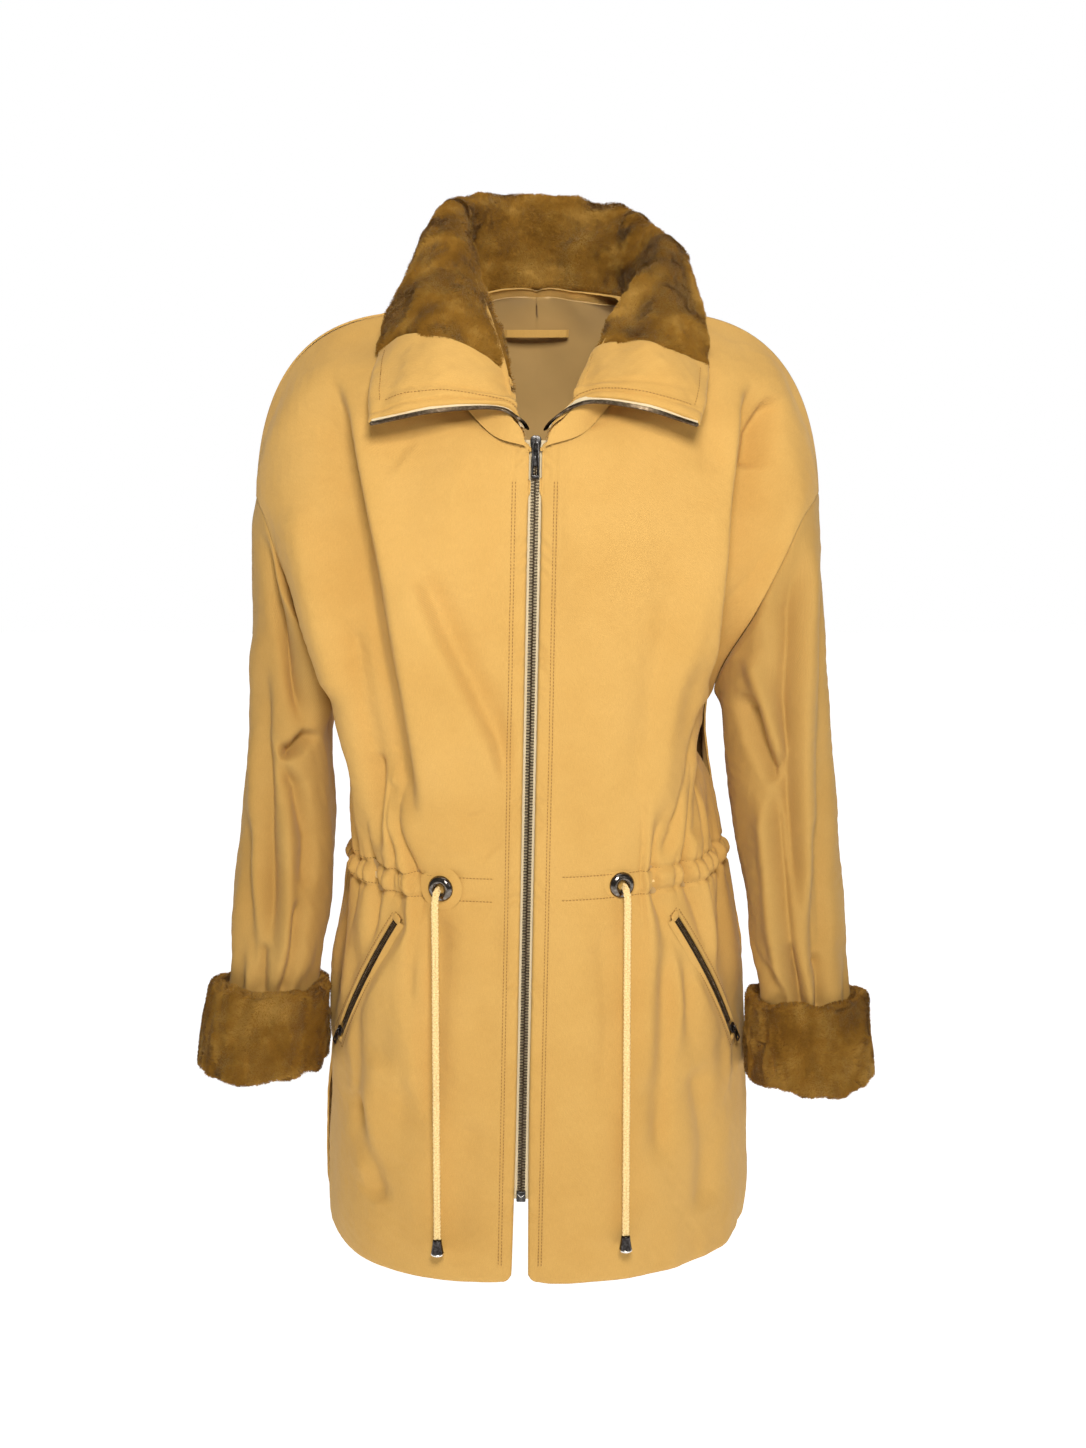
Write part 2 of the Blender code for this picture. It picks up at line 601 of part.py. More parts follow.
def outline_solid(name, outline, low, high, look, axes, bevel=0.0):
    """A flat outline pushed from one height to another, in the given axes and origin."""
    origin, first, second, third = axes
    mesh = bpy.data.meshes.new(name)
    work = bmesh.new()
    base = [work.verts.new(origin + first * a + second * b + third * low) for a, b in outline]
    face = work.faces.new(base)
    grown = bmesh.ops.extrude_face_region(work, geom=[face])
    lifted = [g for g in grown["geom"] if isinstance(g, bmesh.types.BMVert)]
    bmesh.ops.translate(work, verts=lifted, vec=third * (high - low))
    bmesh.ops.recalc_face_normals(work, faces=work.faces)
    work.to_mesh(mesh)
    work.free()
    thing = add_object(name, mesh, look)
    if bevel:
        edge = thing.modifiers.new("bevel", "BEVEL")
        edge.width = bevel
        edge.segments = 2
        edge.limit_method = "ANGLE"
    return thing


def rectangle(low_a, high_a, low_b, high_b):
    return [(low_a, low_b), (high_a, low_b), (high_a, high_b), (low_a, high_b)]


MAIN_ZIP_AXES = (ZIP_TOP, ACROSS, DOWN, OUT)
TEETH_FLOOR = -0.0024
TEETH_TOP = 0.0004
TAPE_FLOOR = -0.0040
TAPE_TOP = -0.0030
TEETH_START = 0.012           # the first closed pair of teeth, below the open slider


def build_main_zip():
    half_gap = GAP / 2 + 0.00005
    for side, sign in SIDES.items():
        edges = sorted((sign * half_gap, sign * TOOTH_HALF_WIDTH))
        outline_solid("zip_teeth_" + side, rectangle(*edges, TEETH_START, ZIP_LENGTH - 0.006),
                      TEETH_FLOOR, TEETH_TOP, DARK_METAL, MAIN_ZIP_AXES)
        edges = sorted((sign * half_gap, sign * TAPE_WIDTH))
        outline_solid("zip_tape_" + side, rectangle(*edges, 0.004, ZIP_LENGTH + 0.002),
                      TAPE_FLOOR, TAPE_TOP, TAPE, MAIN_ZIP_AXES)
    outline_solid("zip_bottom_stop", rectangle(-0.0042, 0.0042, ZIP_LENGTH - 0.0055,
                                               ZIP_LENGTH + 0.0045),
                  TEETH_FLOOR, TEETH_TOP + 0.0006, DARK_METAL, MAIN_ZIP_AXES, bevel=0.0005)
    build_slider("zip_slider", "zip_pull", MAIN_ZIP_AXES, 0.0, 1.0, 0.030)


def slider_outline(scale):
    """The shield shape of a zip slider: wide shoulders at the open end, a narrow tail."""
    points = [(-0.0034, 0.0130), (-0.0046, 0.0055), (-0.0046, 0.0020), (-0.0028, 0.0),
              (0.0028, 0.0), (0.0046, 0.0020), (0.0046, 0.0055), (0.0034, 0.0130)]
    return [(a * scale, b * scale) for a, b in points]


SLIDER_FLOOR = TEETH_TOP + 0.0004
SLIDER_TOP = SLIDER_FLOOR + 0.0016
HINGE_HEIGHT = SLIDER_TOP + 0.0013


def build_slider(name, pull_name, axes, lift, scale, pull_length):
    """A slider with its bridge, and the pull that hangs from the bridge."""
    origin, first, second, third = axes
    shoulder = outline_solid(name, slider_outline(scale), SLIDER_FLOOR + lift,
                             SLIDER_TOP + lift, DARK_METAL, axes)
    bridge = bridge_tool(name + "_bridge", axes, lift, scale)
    joined = shoulder.modifiers.new("bridge", "BOOLEAN")
    joined.operation = "UNION"
    joined.solver = "EXACT"
    joined.object = bridge
    bridge.hide_render = True
    bridge.display_type = "WIRE"
    pivot = origin + second * 0.0065 * scale + third * (HINGE_HEIGHT + lift)
    pull = build_pull(pull_name, (pivot, first, second, third), pull_length, scale)
    set_origin(pull, pivot)
    return shoulder, pull, pivot


def bridge_tool(name, axes, lift, scale):
    """A small arch along the slider, standing on its plate at both feet."""
    origin, first, second, third = axes
    mesh = bpy.data.meshes.new(name)
    work = bmesh.new()
    height = SLIDER_TOP + lift
    half = 0.0009 * scale
    profile = [(0.0020, -0.0004), (0.0024, 0.0022), (0.0044, 0.0033), (0.0086, 0.0033),
               (0.0106, 0.0022), (0.0110, -0.0004), (0.0096, -0.0004), (0.0090, 0.0014),
               (0.0080, 0.0023), (0.0050, 0.0023), (0.0040, 0.0014), (0.0034, -0.0004)]
    verts = [work.verts.new(origin + second * a * scale + third * (height + b) + first * -half)
             for a, b in profile]
    face = work.faces.new(verts)
    grown = bmesh.ops.extrude_face_region(work, geom=[face])
    lifted = [g for g in grown["geom"] if isinstance(g, bmesh.types.BMVert)]
    bmesh.ops.translate(work, verts=lifted, vec=first * 2 * half)
    bmesh.ops.recalc_face_normals(work, faces=work.faces)
    work.to_mesh(mesh)
    work.free()
    return add_object(name, mesh, DARK_METAL)


def build_pull(name, axes, length, scale):
    """A flat pull with an eye round the slider's bridge and a slot in its lower end."""
    half = 0.0036 * scale
    thick = 0.0005
    pull = outline_solid(name, rectangle(-half, half, -0.0012, length), -thick, thick,
                         DARK_METAL, axes)
    eye = outline_solid(name + "_eye", rectangle(-0.0017 * scale, 0.0017 * scale, 0.0007,
                                                 0.0066 * scale),
                        -0.003, 0.003, DARK_METAL, axes)
    slot = outline_solid(name + "_slot", rectangle(-0.0014 * scale, 0.0014 * scale,
                                                   length * 0.66, length * 0.9),
                         -0.003, 0.003, DARK_METAL, axes)
    cut(pull, eye)
    cut(pull, slot)
    return pull


# ---------------------------------------------------------------- pockets
def find_uv(panel, x, z):
    """Where on the panel the surface has the given |x| and z."""
    u, v = 0.5, 0.3
    for _ in range(60):
        here = panel(np.array(u), np.array(v))
        step = 1e-4
        by_u = (panel(np.array(u + step), np.array(v)) - here) / step
        by_v = (panel(np.array(u), np.array(v + step)) - here) / step
        matrix = np.array([[by_u[0], by_v[0]], [by_u[2], by_v[2]]])
        miss = np.array([panel.side * x - here[0], z - here[2]])
        change = np.linalg.solve(matrix, miss)
        u = float(np.clip(u + 0.5 * change[0], 0.02, 0.98))
        v = float(np.clip(v + 0.5 * change[1], 0.02, 0.98))
    return u, v


def surface_frame(panel, x, z):
    """Point and outward normal of the panel at the given |x| and z."""
    u, v = find_uv(panel, x, z)
    point = panel(np.array(u), np.array(v))
    out = normals(panel, np.array(u), np.array(v)) * panel.side
    return Vector(point), Vector(out)


class Arc:
    """The circle through three points, with the angle measured from the last point."""

    def __init__(self, points):
        a, b, c = points
        self.lean = 0.0
        normal = (b - a).cross(c - a)
        size = normal.length_squared
        ab, ac = b - a, c - a
        offset = (normal.cross(ab) * ac.length_squared + ac.cross(normal) * ab.length_squared)
        self.centre = a + offset / (2 * size)
        self.radius = (a - self.centre).length
        self.axis = normal.normalized()
        self.start = (c - self.centre).normalized()
        if self.axis.dot(self.start.cross((a - self.centre).normalized())) < 0:
            self.axis = -self.axis
        self.angle = self.start.angle((a - self.centre).normalized())

    def radial(self, angle):
        return Matrix.Rotation(angle, 3, self.axis) @ self.start

    def lean_to(self, out):
        """Turn the swept section so that, half way along, it faces the given way."""
        radial = self.radial(self.angle / 2)
        self.lean = -math.atan2(out.dot(self.axis), out.dot(radial))

    def facing(self, angle):
        """The section's outward and sideways directions at an angle."""
        radial = self.radial(angle)
        out = radial * math.cos(self.lean) - self.axis * math.sin(self.lean)
        across = radial * math.sin(self.lean) + self.axis * math.cos(self.lean)
        return out, across

    def place(self, angle, out, across):
        outward, sideways = self.facing(angle)
        return (self.centre + self.radial(angle) * self.radius + outward * out
                + sideways * across)


def arc_solid(name, arc, first, last, section, look, steps=14):
    """A closed section of (out, across) points swept along the arc."""
    mesh = bpy.data.meshes.new(name)
    work = bmesh.new()
    loops = []
    for step in range(steps + 1):
        angle = first + (last - first) * step / steps
        loops.append([work.verts.new(arc.place(angle, out, across)) for out, across in section])
    count = len(section)
    for near, far in zip(loops[:-1], loops[1:]):
        for c in range(count):
            d = (c + 1) % count
            work.faces.new([near[c], near[d], far[d], far[c]])
    work.faces.new(loops[0][::-1])
    work.faces.new(loops[-1])
    bmesh.ops.recalc_face_normals(work, faces=work.faces)
    work.to_mesh(mesh)
    work.free()
    return add_object(name, mesh, look)


def pocket_arc(panel):
    """The curve of a pocket zip, its section lying along the panel's surface."""
    frames = [surface_frame(panel, x, z) for x, z in POCKET_POINTS]
    arc = Arc([point for point, _ in frames])
    arc.lean_to(frames[1][1])
    return arc


def build_pockets(shells):
    for side in SIDES:
        panel = FRONTS[side]
        arc = pocket_arc(panel)
        end = arc.angle
        margin = 0.004 / arc.radius
        half = POCKET_SLOT_HALF
        slot = arc_solid("pocket_slot_" + side, arc, -margin, end + margin,
                         [(-0.012, -half), (0.012, -half), (0.012, half), (-0.012, half)],
                         FABRIC)
        cut(shells[side], slot)
        tooth, tape = 0.0026, 0.0050
        section = [(-0.0050, -tape), (-0.0042, -tape), (-0.0042, -tooth), (0.0004, -tooth),
                   (0.0004, tooth), (-0.0042, tooth), (-0.0042, tape), (-0.0050, tape)]
        arc_solid("pocket_zip_" + side, arc, 0.0, end, section, DARK_METAL)
        build_pocket_slider(side, arc)
        build_pocket_bag(side, panel)


POCKET_SLIDER_LIFT = 0.0006
POCKET_SLIDER_SCALE = 0.8


def pocket_slider_axes(arc):
    """Axes at the lower end of the pocket zip: across, down along the zip, and out."""
    angle = 0.012 / arc.radius
    out, across = arc.facing(angle)
    down = across.cross(out)
    upwards = arc.place(angle + 0.01, 0.0, 0.0) - arc.place(angle, 0.0, 0.0)
    if down.dot(upwards) > 0:
        down, across = -down, -across
    return arc.place(angle, 0.0, 0.0), across, down, out


def build_pocket_slider(side, arc):
    build_slider("pocket_slider_" + side, "pocket_pull_" + side, pocket_slider_axes(arc),
                 POCKET_SLIDER_LIFT, POCKET_SLIDER_SCALE, 0.018)


def build_pocket_bag(side, panel):
    """A flat fabric bag that hangs behind the pocket zip, between shell and lining."""
    low = find_uv(panel, 0.12, -0.74)[1]
    high = find_uv(panel, 0.12, -0.545)[1]
    surface_sheet("pocket_bag_" + side, panel, even(0.40, 0.86, 6), even(low, high, 6),
                  0.0064, 0.0018, SATIN, SIDES[side])


# ---------------------------------------------------------------- waist and drawcords
def waist_band(name, half_height, depth, thickness, look, start_x, steps=11):
    """A band round the waist under the shell, from eyelet to eyelet by the back."""
    left, right = FRONTS["left"], FRONTS["right"]
    u_left = find_uv(left, start_x["left"], EYELET_PLACES["left"][1])[0]
    u_right = find_uv(right, start_x["right"], EYELET_PLACES["right"][1])[0]
    parts = [(left, even(u_left, 0.97, steps), 1),
             (BACKS["left"], even(0.97, 0.03, steps), -1),
             (BACKS["right"], even(0.03, 0.97, steps), 1),
             (right, even(0.97, u_right, steps), -1)]
    rows = []
    for step in (-1, 0, 1):
        row = []
        for panel, u, sign in parts:
            v = np.full(u.shape, panel.knots[WAIST_ROW] + step * half_height / PANEL_HEIGHT)
            row.append(panel(u, v) - normals(panel, u, v) * sign * depth)
        rows.append(np.concatenate(row))
    return sheet(name, np.stack(rows), thickness, look, 1)


def build_waist(shells):
    inner_start = {side: place[0] + 0.006 for side, place in EYELET_PLACES.items()}
    waist_band("drawcord_inside", 0.0031, 0.0030, 0.0018, BRAID, inner_start)
    casing_start = {side: place[0] - 0.018 for side, place in EYELET_PLACES.items()}
    waist_band("waist_casing", 0.0150, 0.0054, 0.0008, FABRIC, casing_start)
    for side in SIDES:
        build_eyelet(side, shells[side])


def turned(name, profile, place, out, look, steps=24):
    """A turned piece: (radius, height) points spun round the outward axis."""
    mesh = bpy.data.meshes.new(name)
    work = bmesh.new()
    turn = Vector((0, 0, 1)).rotation_difference(out).to_matrix()
    loops = []
    for step in range(steps):
        angle = 2 * math.pi * step / steps
        loops.append([work.verts.new(place + turn @ Vector((r * math.cos(angle),
                                                             r * math.sin(angle), h)))
                      for r, h in profile])
    count = len(profile)
    for step in range(steps):
        near, far = loops[step], loops[(step + 1) % steps]
        for c in range(count):
            d = (c + 1) % count
            work.faces.new([near[c], near[d], far[d], far[c]])
    bmesh.ops.recalc_face_normals(work, faces=work.faces)
    for face in work.faces:
        face.smooth = True
    work.to_mesh(mesh)
    work.free()
    thing = add_object(name, mesh, look)
    mesh.set_sharp_from_angle(angle=math.radians(40))
    return thing


def rod(name, place, out, radius, length, steps=24):
    """A plain round bar, centred on a place and pointing along the given direction."""
    mesh = bpy.data.meshes.new(name)
    work = bmesh.new()
    turn = Vector((0, 0, 1)).rotation_difference(out).to_matrix().to_4x4()
    bmesh.ops.create_cone(work, cap_ends=True, segments=steps, radius1=radius,
                          radius2=radius, depth=length, matrix=Matrix.Translation(place) @ turn)
    work.to_mesh(mesh)
    work.free()
    return add_object(name, mesh, DARK_METAL)


BARREL_RADIUS = 0.0050


def build_eyelet(side, shell):
    """A domed eyelet through the front, its washer behind, and the drawcord's free end."""
    x, z = EYELET_PLACES[side]
    place, out = surface_frame(FRONTS[side], x, z)
    cut(shell, rod("eyelet_hole_" + side, place, out, BARREL_RADIUS + 0.0004, 0.020))
    dome = [(EYELET_BORE, -0.0018), (BARREL_RADIUS, -0.0018), (BARREL_RADIUS, 0.0010),
            (EYELET_RADIUS, 0.0010), (0.0103, 0.0021), (0.0094, 0.0034), (0.0078, 0.0045),
            (0.0060, 0.0048), (0.0047, 0.0041), (EYELET_BORE, 0.0030)]
    turned("eyelet_" + side, dome, place, out, DARK_METAL)
    washer = [(BARREL_RADIUS + 0.0004, -0.0025), (0.0085, -0.0025), (0.0085, -0.0021),
              (BARREL_RADIUS + 0.0004, -0.0021)]
    turned("eyelet_washer_" + side, washer, place, out, DARK_METAL)
    build_drawcord(side, place, out)


def drawcord_points(side, place, out):
    """The route of the free drawcord from the bore's mouth down to its end."""
    sign = SIDES[side]
    return [place + out * along + Vector((sign * dx, dy, dz))
            for along, dx, dy, dz in CORD_ROUTE]


def build_drawcord(side, place, out):
    route = drawcord_points(side, place, out)
    keys = np.array([tuple(p) for p in route])
    steps = np.linalg.norm(np.diff(keys, axis=0), axis=1)
    knots = np.concatenate([[0.0], np.cumsum(steps)])
    count = int(knots[-1] / (2.5 * CORD_DIAMETER)) + 6
    smooth = through(keys, knots, even(0, knots[-1], count))
    curve = bpy.data.curves.new("drawcord_" + side, "CURVE")
    curve.dimensions = "3D"
    spline = curve.splines.new("POLY")
    spline.points.add(count - 1)
    for point, where in zip(spline.points, smooth):
        point.co = (*where, 1.0)
    curve.bevel_depth = CORD_DIAMETER / 2
    curve.bevel_resolution = 2
    curve.use_fill_caps = True
    cord = bpy.data.objects.new("drawcord_" + side, curve)
    curve.materials.append(material("drawcord_look_" + side, CORD_COLOUR, 0.8))
    bpy.context.scene.collection.objects.link(cord)
    build_cord_end(side, Vector(smooth[-1]))


def build_cord_end(side, top):
    """The bell cap on the cord's end: narrow neck, flared skirt, bright lower rim."""
    down = Vector((0, 0, -1))
    start = top + down * GAP
    profile = [(0.0005, 0.0), (0.0034, 0.0), (0.0040, 0.0006), (0.0046, 0.0050),
               (0.0059, 0.0122), (0.0060, 0.0138), (0.0052, 0.0150), (0.0050, 0.0170),
               (0.0005, 0.0165)]
    turned("cord_end_" + side, profile, start, down, DARK_METAL, steps=20)


# ---------------------------------------------------------------- neck details
def build_hanger_loop():
    """The short tape inside the back neck that hangs the jacket on a hook."""
    half_width, height, bow = 0.030, 0.0035, 0.006
    turn = even(0, math.pi, 9)
    x = -half_width * np.cos(turn)
    rows = BACKS["left"]
    place = whole_back(np.array(0.0),
                       np.array((rows.v_of_row(9) + rows.v_of_row(NECK_ROW)) / 2))
    z = np.full(x.shape, place[2])
    y = place[1] - 0.0180 - bow * np.sin(turn)
    middle = np.stack([x, y, z], axis=1)
    lift = np.array([0, 0, height])
    sheet("hanger_loop", np.stack([middle - lift, middle + lift]), 0.0010, FABRIC, 1)


def build_jacket():
    clear_scene()
    shells = build_panels()
    build_sleeves()
    build_collar()
    build_main_zip()
    build_pockets(shells)
    build_waist(shells)
    build_hanger_loop()


build_jacket()
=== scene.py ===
"""Looks of the zip-front jacket: cloth, plush, zips, drawcords and fittings over the CAD frame.

Metres, +Z up.  The wearer faces -Y and the wearer's left side is +X.
"""
import math

import bmesh
import bpy
import numpy as np
from mathutils import Matrix, Vector


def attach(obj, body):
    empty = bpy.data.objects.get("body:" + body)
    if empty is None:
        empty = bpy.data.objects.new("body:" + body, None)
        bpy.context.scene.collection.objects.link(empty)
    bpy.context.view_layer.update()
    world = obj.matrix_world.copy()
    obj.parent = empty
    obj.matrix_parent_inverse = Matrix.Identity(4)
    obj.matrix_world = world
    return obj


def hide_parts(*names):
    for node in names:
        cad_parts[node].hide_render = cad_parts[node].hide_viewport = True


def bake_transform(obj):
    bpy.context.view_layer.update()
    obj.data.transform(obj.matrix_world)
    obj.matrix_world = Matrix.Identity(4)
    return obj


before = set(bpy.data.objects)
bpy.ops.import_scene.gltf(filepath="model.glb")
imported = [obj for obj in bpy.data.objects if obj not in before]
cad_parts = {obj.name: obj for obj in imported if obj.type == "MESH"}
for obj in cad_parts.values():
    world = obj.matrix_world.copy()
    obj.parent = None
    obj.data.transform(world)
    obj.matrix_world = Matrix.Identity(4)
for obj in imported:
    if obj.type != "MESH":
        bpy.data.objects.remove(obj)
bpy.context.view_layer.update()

ROOT = "jacket_body"
SIDES = {"left": 1, "right": -1}
GAP = 0.0003
PLUSH = 0.0045
PLUSH_SHELL_DEPTH = PLUSH + 7 * GAP
LINING_DEPTH = 0.0095
ZIP_TOP = Vector((0.0, -0.1165, -0.092))
ZIP_END = Vector((-0.0140, -0.1662, -0.776))
EYELET_PLACES = {"right": (.0850, -.4925), "left": (.0760, -.4900)}
WAIST_ROW = 4
UNDERARM_ROW = 6
NECK_ROW = 10
CORD_WIDTH = 0.0062
FLOOR = -1.35
# Least sideways reach of the back's cloth, and where each half starts beside the middle.
LEAST_SPREAD = 0.15
BACK_START = 0.0015
# Collar stations from the front edge to the facing's stitched line.
FACING_STITCHES = 0.26
STITCH_WIDTH = 0.0009
STITCH_HEIGHT = 0.0006


# ---------------------------------------------------------------- camera, light and floor
def make_camera():
    lens = bpy.data.cameras.new("camera")
    lens.lens = 52.63
    camera = bpy.data.objects.new("camera", lens)
    camera.location = (0.006, -1.95, 0.06)
    camera.rotation_euler = (math.radians(90 - 12.5), 0, 0)
    bpy.context.scene.collection.objects.link(camera)
    bpy.context.scene.camera = camera


def area_light(name, place, aim, size, power, colour):
    data = bpy.data.lights.new(name, "AREA")
    data.shape = "RECTANGLE"
    data.size, data.size_y = size
    data.energy = power
    data.color = colour
    light = bpy.data.objects.new(name, data)
    light.location = place
    light.rotation_euler = (Vector(aim) - Vector(place)).to_track_quat("-Z", "Y").to_euler()
    bpy.context.scene.collection.objects.link(light)


def make_lights():
    world = bpy.data.worlds.new("studio")
    bpy.context.scene.world = world
    world.use_nodes = True
    nodes, links = world.node_tree.nodes, world.node_tree.links
    direction = nodes.new("ShaderNodeTexCoord")
    parts = nodes.new("ShaderNodeSeparateXYZ")
    ramp = nodes.new("ShaderNodeValToRGB")
    ramp.color_ramp.elements[0].position = 0.70
    ramp.color_ramp.elements[0].color = (0.17, 0.165, 0.155, 1)
    ramp.color_ramp.elements[1].position = 0.86
    ramp.color_ramp.elements[1].color = (1.0, 1.0, 1.0, 1)
    shift = nodes.new("ShaderNodeMapRange")
    shift.inputs["From Min"].default_value = -1.0
    links.new(direction.outputs["Generated"], parts.inputs[0])
    links.new(parts.outputs["Y"], shift.inputs["Value"])
    links.new(shift.outputs["Result"], ramp.inputs["Fac"])
    links.new(ramp.outputs["Color"], nodes["Background"].inputs["Color"])
    nodes["Background"].inputs["Strength"].default_value = 1.0
    area_light("key", (0.12, -1.75, 0.75), (0, 0, -0.40), (0.5, 0.5), 39.5, (1.0, 0.98, 0.95))
    area_light("fill", (1.6, -1.8, 0.5), (0, 0, -0.5), (1.0, 1.2), 3.0, (0.97, 0.98, 1.0))
    area_light("top", (0.0, -0.2, 1.9), (0, 0, -0.3), (1.6, 1.2), 9.0, (1.0, 1.0, 1.0))
    bpy.context.scene.view_settings.view_transform = "Standard"


make_camera()
make_lights()


# ---------------------------------------------------------------- shapes shared with the CAD
FRONT_LEFT_ROWS = [
    [(.0075, -.1700, -.858), (.115, -.176, -.862), (.206, -.110, -.866), (.208, .005, -.866)],
    [(.0056, -.1607, -.700), (.115, -.166, -.702), (.196, -.105, -.702), (.199, .003, -.702)],
    [(.0056, -.1520, -.580), (.110, -.158, -.582), (.187, -.098, -.582), (.189, .000, -.582)],
    [(.0056, -.1478, -.522), (.105, -.152, -.525), (.179, -.094, -.525), (.180, .000, -.525)],
    [(.0056, -.1452, -.486), (.100, -.149, -.490), (.172, -.092, -.491), (.174, .000, -.491)],
    [(.0056, -.1419, -.440), (.102, -.150, -.442), (.170, -.098, -.444), (.168, -.003, -.446)],
    [(.0056, -.1338, -.330), (.102, -.152, -.332), (.178, -.100, -.334), (.166, -.004, -.336)],
    [(.0056, -.1274, -.242), (.100, -.148, -.242), (.175, -.118, -.246), (.200, -.052, -.256)],
    [(.0056, -.1213, -.158), (.090, -.136, -.152), (.182, -.108, -.168), (.224, -.055, -.207)],
    [(.0056, -.1170, -.100), (.085, -.120, -.088), (.196, -.094, -.100), (.241, -.045, -.172)],
    [(.0420, -.1100, -.087), (.105, -.106, -.066), (.215, -.074, -.062), (.251, -.031, -.160)],
    [(.0790, -.0730, -.042), (.128, -.070, -.030), (.238, -.046, -.022), (.257, -.016, -.154)],
    [(.0875, .0040, .009), (.150, .003, .012), (.250, .000, .010), (.260, .000, -.152)],
]
FRONT_RIGHT_ROWS = [
    [(.0075, -.1700, -.858), (.115, -.176, -.860), (.206, -.110, -.863), (.208, .005, -.863)],
    [(.0056, -.1607, -.700), (.115, -.166, -.702), (.196, -.105, -.702), (.199, .003, -.702)],
    [(.0056, -.1520, -.580), (.110, -.158, -.582), (.187, -.098, -.582), (.189, .000, -.582)],
    [(.0056, -.1478, -.522), (.105, -.152, -.527), (.178, -.094, -.530), (.179, .000, -.531)],
    [(.0056, -.1452, -.486), (.100, -.150, -.492), (.172, -.094, -.497), (.173, .000, -.498)],
    [(.0056, -.1419, -.440), (.105, -.152, -.444), (.190, -.108, -.450), (.166, -.004, -.452)],
    [(.0056, -.1338, -.330), (.105, -.154, -.334), (.244, -.118, -.340), (.168, -.002, -.352)],
    [(.0056, -.1274, -.242), (.102, -.150, -.242), (.238, -.128, -.246), (.206, -.040, -.270)],
    [(.0056, -.1213, -.158), (.090, -.136, -.152), (.215, -.112, -.165), (.232, -.046, -.214)],
    [(.0056, -.1170, -.100), (.085, -.120, -.088), (.205, -.094, -.100), (.244, -.040, -.178)],
    [(.0420, -.1100, -.087), (.105, -.106, -.066), (.218, -.074, -.062), (.251, -.029, -.164)],
    [(.0790, -.0730, -.042), (.128, -.070, -.030), (.238, -.046, -.022), (.256, -.015, -.157)],
    [(.0875, .0040, .009), (.150, .003, .010), (.250, .000, .006), (.258, .000, -.155)],
]
BACK_INNER_ROWS = [
    [(.0, .1350, -.870), (.112, .135, -.870), (.206, .100, -.868)],
    [(.0, .1310, -.702), (.110, .131, -.702), (.198, .098, -.702)],
    [(.0, .1180, -.582), (.108, .118, -.582), (.188, .086, -.582)],
    [(.0, .1020, -.525), (.102, .103, -.525), (.180, .076, -.525)],
    [(.0, .0940, -.490), (.098, .096, -.490), (.173, .072, -.491)],
    [(.0, .0980, -.445), (.100, .101, -.445), (.168, .078, -.446)],
    [(.0, .1120, -.334), (.104, .116, -.334), (.172, .088, -.336)],
    [(.0, .1190, -.240), (.102, .124, -.240), (.180, .112, -.248)],
    [(.0, .1160, -.150), (.098, .121, -.148), (.188, .112, -.168)],
    [(.0, .1020, -.065), (.092, .106, -.062), (.204, .096, -.085)],
    [(.0, .0660, .027), (.105, .072, -.002), (.232, .058, -.026)],
    [(.0560, .0480, .024), (.125, .044, .004), (.242, .032, -.004)],
    [(.0875, .0040, .009), (.150, .003, .012), (.250, .000, .010)],
]
BACK_ARMHOLE = [(.200, .054, -.256), (.225, .060, -.207), (.242, .050, -.172),
                (.251, .034, -.160), (.257, .018, -.154)]
SLEEVE_RINGS = {
    "left": [
        (.2225, -.004, -.318, .0465, .062, .090),
        (.2275, -.012, -.405, .0470, .060, .060),
        (.2360, -.022, -.490, .0455, .056, .040),
        (.2460, -.036, -.570, .0445, .050, .020),
        (.2530, -.044, -.628, .0395, .0425, .006),
        (.2585, -.050, -.694, .0400, .0420, .004),
    ],
    "right": [
        (.2290, .014, -.322, .0365, .055, .080),
        (.2320, .006, -.408, .0390, .055, .060),
        (.2365, -.010, -.485, .0420, .054, .040),
        (.2440, -.030, -.558, .0440, .049, .020),
        (.2490, -.042, -.616, .0385, .0420, .008),
        (.2590, -.050, -.682, .0400, .0420, .008),
    ],
}
